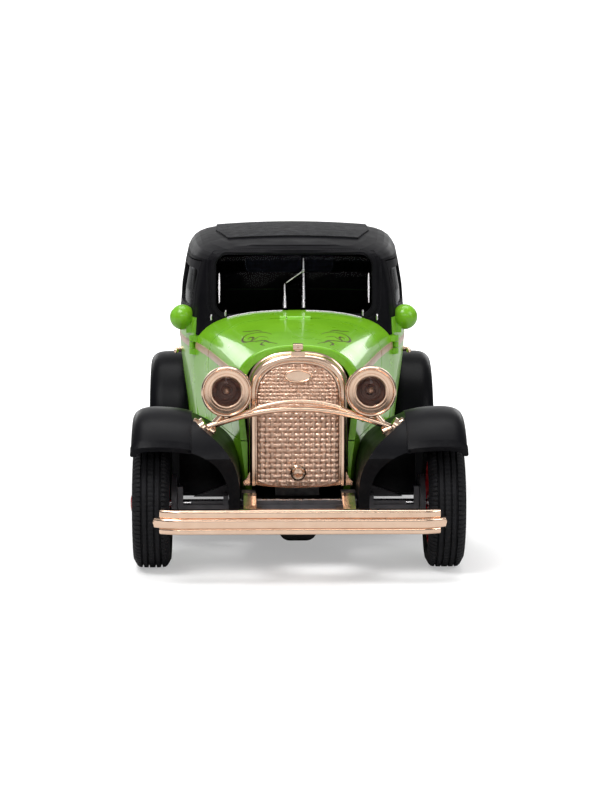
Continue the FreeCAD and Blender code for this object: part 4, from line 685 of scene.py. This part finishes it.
def hood_scrolls():
    """Thin painted scroll on each half of the hood's top, as strokes of (x, y) points."""
    tree = skin("hood")
    strokes = [[(10.4, -26.6), (8.9, -28.4), (7.6, -29.4), (6.6, -31.2)],
               [(4.8, -35.2), (6.2, -32.4), (7.7, -31.2), (9.3, -30.6), (10.2, -31.6), (10.5, -33.6),
                (10.0, -35.8), (8.9, -37.0), (7.9, -36.4), (7.2, -35.6), (5.6, -37.6)],
               [(9.2, -36.9), (7.9, -38.6), (6.2, -40.2), (5.3, -42.6), (3.8, -45.0)],
               [(6.0, -40.6), (6.9, -42.4), (6.2, -44.4)],
               [(8.9, -37.0), (8.3, -35.2), (8.9, -33.8), (9.4, -34.8)]]
    scrolls = Form()
    for s in (1, -1):
        for stroke in strokes:
            path = [land(tree, (s * x, y, OUTSIDE), -Z) for x, y in smooth_line(stroke)]
            scrolls.strip(path, 0.42, 0.035, 0.05, taper=0.75)
    scrolls.make("hood_scrolls", "pinstripe", "hood_panel", slot="body_paint")


def belt_path(tree, side, y_from, y_to, step=1.5):
    """Points and normals along the belt of one side, about `step` apart."""
    count = max(2, int(abs(y_to - y_from) / step))
    path = []
    for k in range(count + 1):
        y = y_from + (y_to - y_from) * k / count
        hit = land(tree, (side * OUTSIDE, y, level(BELT, y)), (-side, 0, 0))
        if hit:
            path.append(hit)
    return path


def belt_lines():
    """Stripe round the car at the belt, split at the hood and the doors."""
    shell = skin("body_shell")
    for side, s in SIDES.items():
        form = Form()
        form.strip(belt_path(skin(f"door_panel_{side}"), s, -4.8, 19.6), BELT_TALL, BELT_THICK)
        form.make(f"belt_line_door_{side}", "belt_line", f"door_{side}", slot="plated_trim")
    form = Form()
    for s in (1, -1):
        form.strip(belt_path(skin("hood"), s, -48.2, -18.2), BELT_TALL, BELT_THICK)
    form.make("belt_line_hood", "belt_line", "hood_panel", slot="plated_trim")
    form = Form()
    for s in (1, -1):
        form.strip(belt_path(shell, s, -17.7, -6.6), BELT_TALL, BELT_THICK)
    rear_y = 46.0
    path = belt_path(shell, 1, 20.2, rear_y)
    for k in range(1, 36):
        turn = math.pi * k / 36
        out = Vector((math.cos(turn), math.sin(turn), 0))
        hit = land(shell, Vector((0, rear_y, level(BELT, 50))) + out * OUTSIDE, -out)
        if hit:
            path.append(hit)
    path += reversed(belt_path(shell, -1, 20.2, rear_y))
    form.strip(path, BELT_TALL, BELT_THICK)
    form.make("belt_line_body", "belt_line", "car", slot="plated_trim")


# ---- windscreen, wheel wells and lamp bar ----------------------------------------------
def screen_outline(grow, corner=2.4, count=10):
    """Rounded rectangle round the windscreen opening, `grow` outside it."""
    half = SCREEN_X + grow
    low, high = SCREEN_LOW - grow, SCREEN_HIGH + grow
    corner += grow
    points = []
    for cx, cz, start in ((half - corner, high - corner, 0), (-half + corner, high - corner, 90),
                          (-half + corner, low + corner, 180), (half - corner, low + corner, 270)):
        for k in range(count + 1):
            turn = math.radians(start + 90 * k / count)
            points.append((cx + corner * math.cos(turn), cz + corner * math.sin(turn)))
    dense = []
    for (x0, z0), (x1, z1) in zip(points, points[1:] + points[:1]):
        parts = max(1, int(math.hypot(x1 - x0, z1 - z0) / 1.2))
        dense += [(x0 + (x1 - x0) * k / parts, z0 + (z1 - z0) * k / parts) for k in range(parts)]
    return dense


def windscreen_frame():
    """Stepped black frame round the windscreen."""
    roof = skin("roof_shell")
    form = Form()
    for grow, width, thick in ((0.55, 1.0, 0.22), (1.75, 0.5, 0.12)):
        path = [land(roof, (x, -OUTSIDE, z), Y) for x, z in screen_outline(grow)]
        path = [hit for hit in path if hit and hit[0].y < -2.0]
        form.strip(path, width, thick, 0.2, closed=True)
    form.make("windscreen_frame", "roof_paint")


def windscreen_clips():
    """Bright strips inside the frame and along the screen's foot, and two clips at each lower corner."""
    roof, glass, shell = skin("roof_shell"), skin("windscreen"), skin("body_shell")
    bright = Form()
    for s in (1, -1):
        path = [land(glass, (s * 15.25, -OUTSIDE, z), Y) for z in (43.6, 45, 46.5, 48, 49.5, 51.0)]
        bright.strip([hit for hit in path if hit], 0.45, 0.12, 0.05, taper=0.6)
        for x, z in ((14.0, 42.75), (16.9, 41.9)):
            hit = land(roof, (s * x, -OUTSIDE, z), Y) or land(glass, (s * x, -OUTSIDE, z + 0.4), Y)
            if hit:
                place = hit[0]
                bright.tube([place + Vector((0, 0.2, -0.5)), place + Vector((0, -0.25, -0.2)),
                             place + Vector((0, -0.3, 0.5)), place + Vector((0, 0.1, 0.75))], 0.22, 8)
        foot = [land(shell, (s * (2.4 + 1.25 * k), -7.9, OUTSIDE), -Z) for k in range(10)]
        bright.strip([hit for hit in foot if hit], 0.36, 0.22, 0.05)
    bright.make("windscreen_clips", "steel")


def wiper_blades():
    """Tall and short blade on the glass, with a link between them and a pivot on the tall one."""
    glass = skin("windscreen")
    blades = Form()
    for x, top in ((WIPER_X, 54.0), (-WIPER_X, 48.9)):
        heights = [z for z in (43.1, 44.0, 45.5, 47.0, 48.9, 50.4, 52.2, 54.0) if z <= top + 0.2]
        spots = [land(glass, (x, -OUTSIDE, z), Y) for z in heights]
        path = [hit[0] + hit[1] * 0.22 for hit in spots if hit]
        blades.tube(path, [0.44 - 0.34 * k / (len(path) - 1) for k in range(len(path))], 10)
    pivot = land(glass, (WIPER_X, -OUTSIDE, 51.5), Y)[0] - Y * 0.3
    blades.tube([land(glass, (-1.6, -OUTSIDE, 49.1), Y)[0] - Y * 0.3, pivot], 0.10, 8)
    blades.lathe([(0.0, -0.1), (0.38, -0.1), (0.34, 0.25), (0.2, 0.4), (0.0, 0.42)], pivot, -Y, 24)
    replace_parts(blades.make("wiper_blades", "steel"), "wiper")


def wheel_well_shields():
    """Black inner walls of the front wheel wells."""
    outline = [(13.1, 12.4), (13.1, 15.9), (14.4, 19.9), (17.3, 22.7), (20.3, 23.8), (22.5, 24.7),
               (22.5, 12.4)]
    for side, s in SIDES.items():
        form = Form()
        form.loft([[(s * x, y, z) for x, z in outline] for y in SHIELD_Y])
        form.make(f"wheel_well_shield_{side}", "fender_paint", bevel=0.15)


def lamp_bar_clamps():
    """Ringed clamp near each end of the lamp bar."""
    profile = [(0.0, -2.3), (0.75, -2.3), (0.95, -2.1), (0.95, -1.3), (0.72, -1.1), (0.72, 1.1),
               (0.95, 1.3), (0.95, 2.1), (0.75, 2.3), (0.0, 2.3)]
    clamps = Form()
    bar = [v.co / MM for v in NODES["headlight_bar"].data.vertices]
    reach = max(p.x for p in bar)
    for s in (1, -1):
        ends = [p for p in bar if p.x * s > reach - 1.0]
        tip = sum(ends, Vector()) / len(ends)
        clamps.lathe(profile, Vector((s * LAMP_BAR_CLAMP_X, tip.y - 0.2, LAMP_BAR_CLAMP_Z)),
                     Vector((-s * 0.89, 0, -0.45)), 32)
    clamps.make("lamp_bar_clamps", "plated_trim")


# ---- seats --------------------------------------------------------------------------------
def cushion(name, low, high, channels, front, replaced):
    """Stuffed leather pad: crowned faces, sides pulled in, and sewn channels inside a sewn rim."""
    low, high = Vector(low), Vector(high)
    centre, half = (low + high) / 2, (high - low) / 2
    work = bmesh.new()
    bmesh.ops.create_cube(work, size=2.0)
    bmesh.ops.subdivide_edges(work, edges=work.edges[:], cuts=35, use_grid_fill=True)
    power, rim_at, depth, crown = 7.0, 0.86, 0.35, 0.5
    for vert in work.verts:
        u = vert.co.copy()
        size = sum(abs(c) ** power for c in u) ** (1 / power)
        u *= max(abs(c) for c in u) / size
        face = u.y if front else u.z
        along, across = (u.z if front else u.y), u.x
        bulge = crown * (1 - across ** 2) * (1 - along ** 2)
        seam = 0.0
        if abs(across) < rim_at and abs(along) < 0.84:
            for k in range(1, channels):
                seam += math.exp(-(((across + rim_at) / (2 * rim_at) * channels - k) / 0.13) ** 2)
        rim = math.exp(-((max(abs(across), abs(along)) - rim_at) / 0.035) ** 2)
        push = (bulge - depth * (seam + rim)) * max(0.0, abs(face)) ** 6
        p = Vector((u.x * (half.x - 0.35) * (1 - 0.03 * (1 - along ** 2)), u.y * (half.y - 0.3),
                    u.z * (half.z - 0.3)))
        if front:
            p.y += math.copysign(min(push, 0.28), u.y) if u.y > 0 else -push
        else:
            p.z += push if u.z > 0 else 0.0
        vert.co = centre + p
    form = Form()
    form.verts = [tuple(v.co) for v in work.verts]
    form.faces = [tuple(v.index for v in f.verts) for f in work.faces]
    work.free()
    pad = form.make(name, "seat_leather", sharp=70)
    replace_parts(pad, replaced)


def piping(name, low, high, at_top):
    """Cord sewn round the top or front edge of a pad."""
    (x0, y0, z0), (x1, y1, z1) = low, high
    count, power = 72, 9.0
    loop = []
    for k in range(count):
        turn = 2 * math.pi * k / count
        c, s = math.cos(turn), math.sin(turn)
        u = math.copysign(abs(c) ** (2 / power), c)
        v = math.copysign(abs(s) ** (2 / power), s)
        x = (x0 + x1) / 2 + u * ((x1 - x0) / 2 - 0.55)
        if at_top:
            loop.append((x, (y0 + y1) / 2 + v * ((y1 - y0) / 2 - 0.5), z1 - 0.6))
        else:
            loop.append((x, y0 + 0.55, (z0 + z1) / 2 + v * ((z1 - z0) / 2 - 0.5)))
    form = Form()
    form.tube(loop, 0.2, 8, closed=True)
    form.make(name, "seat_leather")


def seats():
    """Pads with their piping, on plain bases."""
    pads = [("front_seat_cushion_left", (3.3, 10.1, 17.6), (16.7, 20.6, 22.9), 5, False, "front_seats"),
            ("front_seat_back_left", (3.5, 19.7, 20.8), (16.5, 23.3, 36.9), 5, True, "front_seats"),
            ("front_seat_cushion_right", (-16.7, 10.1, 17.6), (-3.3, 20.6, 22.9), 5, False, "front_seats"),
            ("front_seat_back_right", (-16.5, 19.7, 20.8), (-3.5, 23.3, 36.9), 5, True, "front_seats"),
            ("rear_seat_cushion", (-17.9, 41.1, 17.6), (17.9, 50.8, 23.6), 11, False, "rear_seat"),
            ("rear_seat_back", (-17.9, 49.9, 21.4), (17.9, 53.3, 37.9), 11, True, "rear_seat")]
    for name, low, high, channels, front, replaced in pads:
        cushion(name, low, high, channels, front, replaced)
        piping(f"{name}_piping", low, high, not front)
    base = Form()
    for x0, x1 in ((3.6, 16.4), (-16.4, -3.6)):
        base.block((x0, 10.5, 15.45), (x1, 22.8, 17.9), 0.3)
    base.block((-17.6, 41.4, 15.45), (17.6, 53.0, 17.9), 0.3)
    base.make("seat_bases", "interior_plastic", bevel=0.25)


# ---- cabin, engine and back ---------------------------------------------------------------
def dashboard_dials():
    """Four dials with a rim, marks and a needle each."""
    rims, faces, needles = Form(), Form(), Form()
    for x, radius in ((-6.5, 1.3), (0.0, 1.0), (5.2, 1.0), (8.6, 1.7)):
        hub = Vector((x, -4.65, 38.6))
        rims.lathe([(radius, 0.0), (radius + 0.25, 0.0), (radius + 0.22, 0.28), (radius + 0.05, 0.34),
                    (radius, 0.2)], hub, Y, 40)
        faces.lathe([(0.0, 0.0), (radius + 0.02, 0.0), (radius + 0.02, 0.1), (0.0, 0.12)], hub, Y, 40)
        for k in range(DIAL_MARKS):
            turn = math.radians(-40 + 260 * k / (DIAL_MARKS - 1))
            out = Vector((math.cos(turn), 0, math.sin(turn)))
            inner, outer = hub + out * radius * 0.72, hub + out * radius * 0.93
            needles.tube([inner + Y * 0.13, outer + Y * 0.13], 0.045, 6)
        tip = Vector((math.cos(NEEDLE_TURN), 0, math.sin(NEEDLE_TURN)))
        needles.tube([hub - tip * 0.2 + Y * 0.17, hub + tip * radius * 0.7 + Y * 0.17], [0.09, 0.03], 8)
    rims.make("dial_rims", "plated_trim")
    faces.make("dial_faces", "dial", slot="control_plastic")
    needles.make("dial_marks", "control_plastic")


def engine_details():
    """Plugs with their leads, a round cap, and the hose to the radiator."""
    plug = [(0.0, 0.0), (0.55, 0.0), (0.55, 0.5), (0.35, 0.6), (0.35, 1.3), (0.2, 1.5), (0.0, 1.5)]
    cap = [(0.0, 0.0), (1.9, 0.0), (2.1, 0.3), (2.1, 1.3), (1.8, 1.7), (0.6, 1.8), (0.4, 2.2), (0.0, 2.2)]
    leads, metal = Form(), Form()
    for k in range(PLUGS):
        y = PLUG_FIRST_Y + PLUG_PITCH * k
        metal.lathe(plug, Vector((-2.2, y, 31.2)), Z, 6)
        leads.tube(smooth_line([(-2.2, y, 32.5), (-3.4, y + 0.2, 33.6), (-5.4, y * 0.6 - 12.0, 32.4),
                                (-6.4, -33.4, 29.6)]), 0.26, 8)
    metal.lathe(cap, Vector((2.6, -33.5, 31.2)), Z, 40)
    leads.tube(smooth_line([(3.0, -43.6, 31.0), (3.0, -45.0, 33.0), (2.4, -47.0, 34.2), (1.6, -49.4, 34.4)]),
               0.8, 14)
    metal.make("engine_fittings", "engine_metal")
    leads.make("engine_leads", "control_plastic")


def tail_lamp_lenses():
    """Stepped red lens and plated rim on each tail lamp."""
    lens, rim = Form(), Form()
    for s in (1, -1):
        place = Vector((s * TAIL_LAMP.x, TAIL_LAMP.y - 0.2, TAIL_LAMP.z))
        lens.lathe([(0.0, 0.0), (1.75, 0.0), (1.75, 0.3), (1.5, 0.55), (1.4, 0.48), (1.1, 0.72), (1.0, 0.66),
                    (0.6, 0.85), (0.0, 0.9)], place, Y, 48)
        rim.lathe([(1.7, 0.0), (2.28, 0.0), (2.28, 0.25), (2.05, 0.45), (1.8, 0.4)], place, Y, 48)
    lens.make("tail_lamp_lenses", "tail_lamp")
    rim.make("tail_lamp_rims", "plated_trim")


# ---- assembly --------------------------------------------------------------------------------
put("body_paint", "body_shell", "hood", "door_panel_left", "door_panel_right", "mirror_left", "mirror_right")
put("roof_paint", "roof_shell", "door_frame_left", "door_frame_right")
put("roof_vinyl", "roof_insert")
put("fender_paint", "fender_left", "fender_right")
put("plated_trim", "radiator_shell", "radiator_badge", "radiator_cap", "radiator_grille", "headlight_bar",
    "headlight_bowls", "headlight_bezels", "front_bumper", "rear_bumper", "door_handle_left",
    "door_handle_right", "tail_lights")
put("reflector", "headlight_reflectors")
put("lens_glass", "headlight_lenses")
put("window_glass", "windscreen", "rear_windows", "door_glass_left", "door_glass_right")
put("tyre_rubber", "tyre_front_left", "tyre_front_right", "tyre_rear_left", "tyre_rear_right", "spare_tyre")
put("mat_rubber", "running_board_mats")
put("wheel_red", "wheel_front_left", "wheel_front_right", "wheel_rear_left", "wheel_rear_right",
    "spare_wheel")
put("steel", "front_axle", "rear_axle", "chassis_screws", "hinge_pins")
put("mirror_glass", "mirror_glass_left", "mirror_glass_right")
put("grey_metal", "front_axle_beam", "brake_plates")
put("engine_metal", "engine_block", "cooling_fan")
put("chassis_plastic", "chassis")
put("interior_plastic", "interior_tub", "dashboard")
put("control_plastic", "steering_wheel", "gear_lever", "wiper")
put("seat_leather", "front_seats", "rear_seat")

camera()
room()
floor()
tyres()
wheel_trims()
grille_weave()
grille_trim()
grille_edge()
headlamps()
hood_bead()
hood_louvres()
hood_scrolls()
belt_lines()
windscreen_frame()
windscreen_clips()
wiper_blades()
wheel_well_shields()
lamp_bar_clamps()
seats()
dashboard_dials()
engine_details()
tail_lamp_lenses()
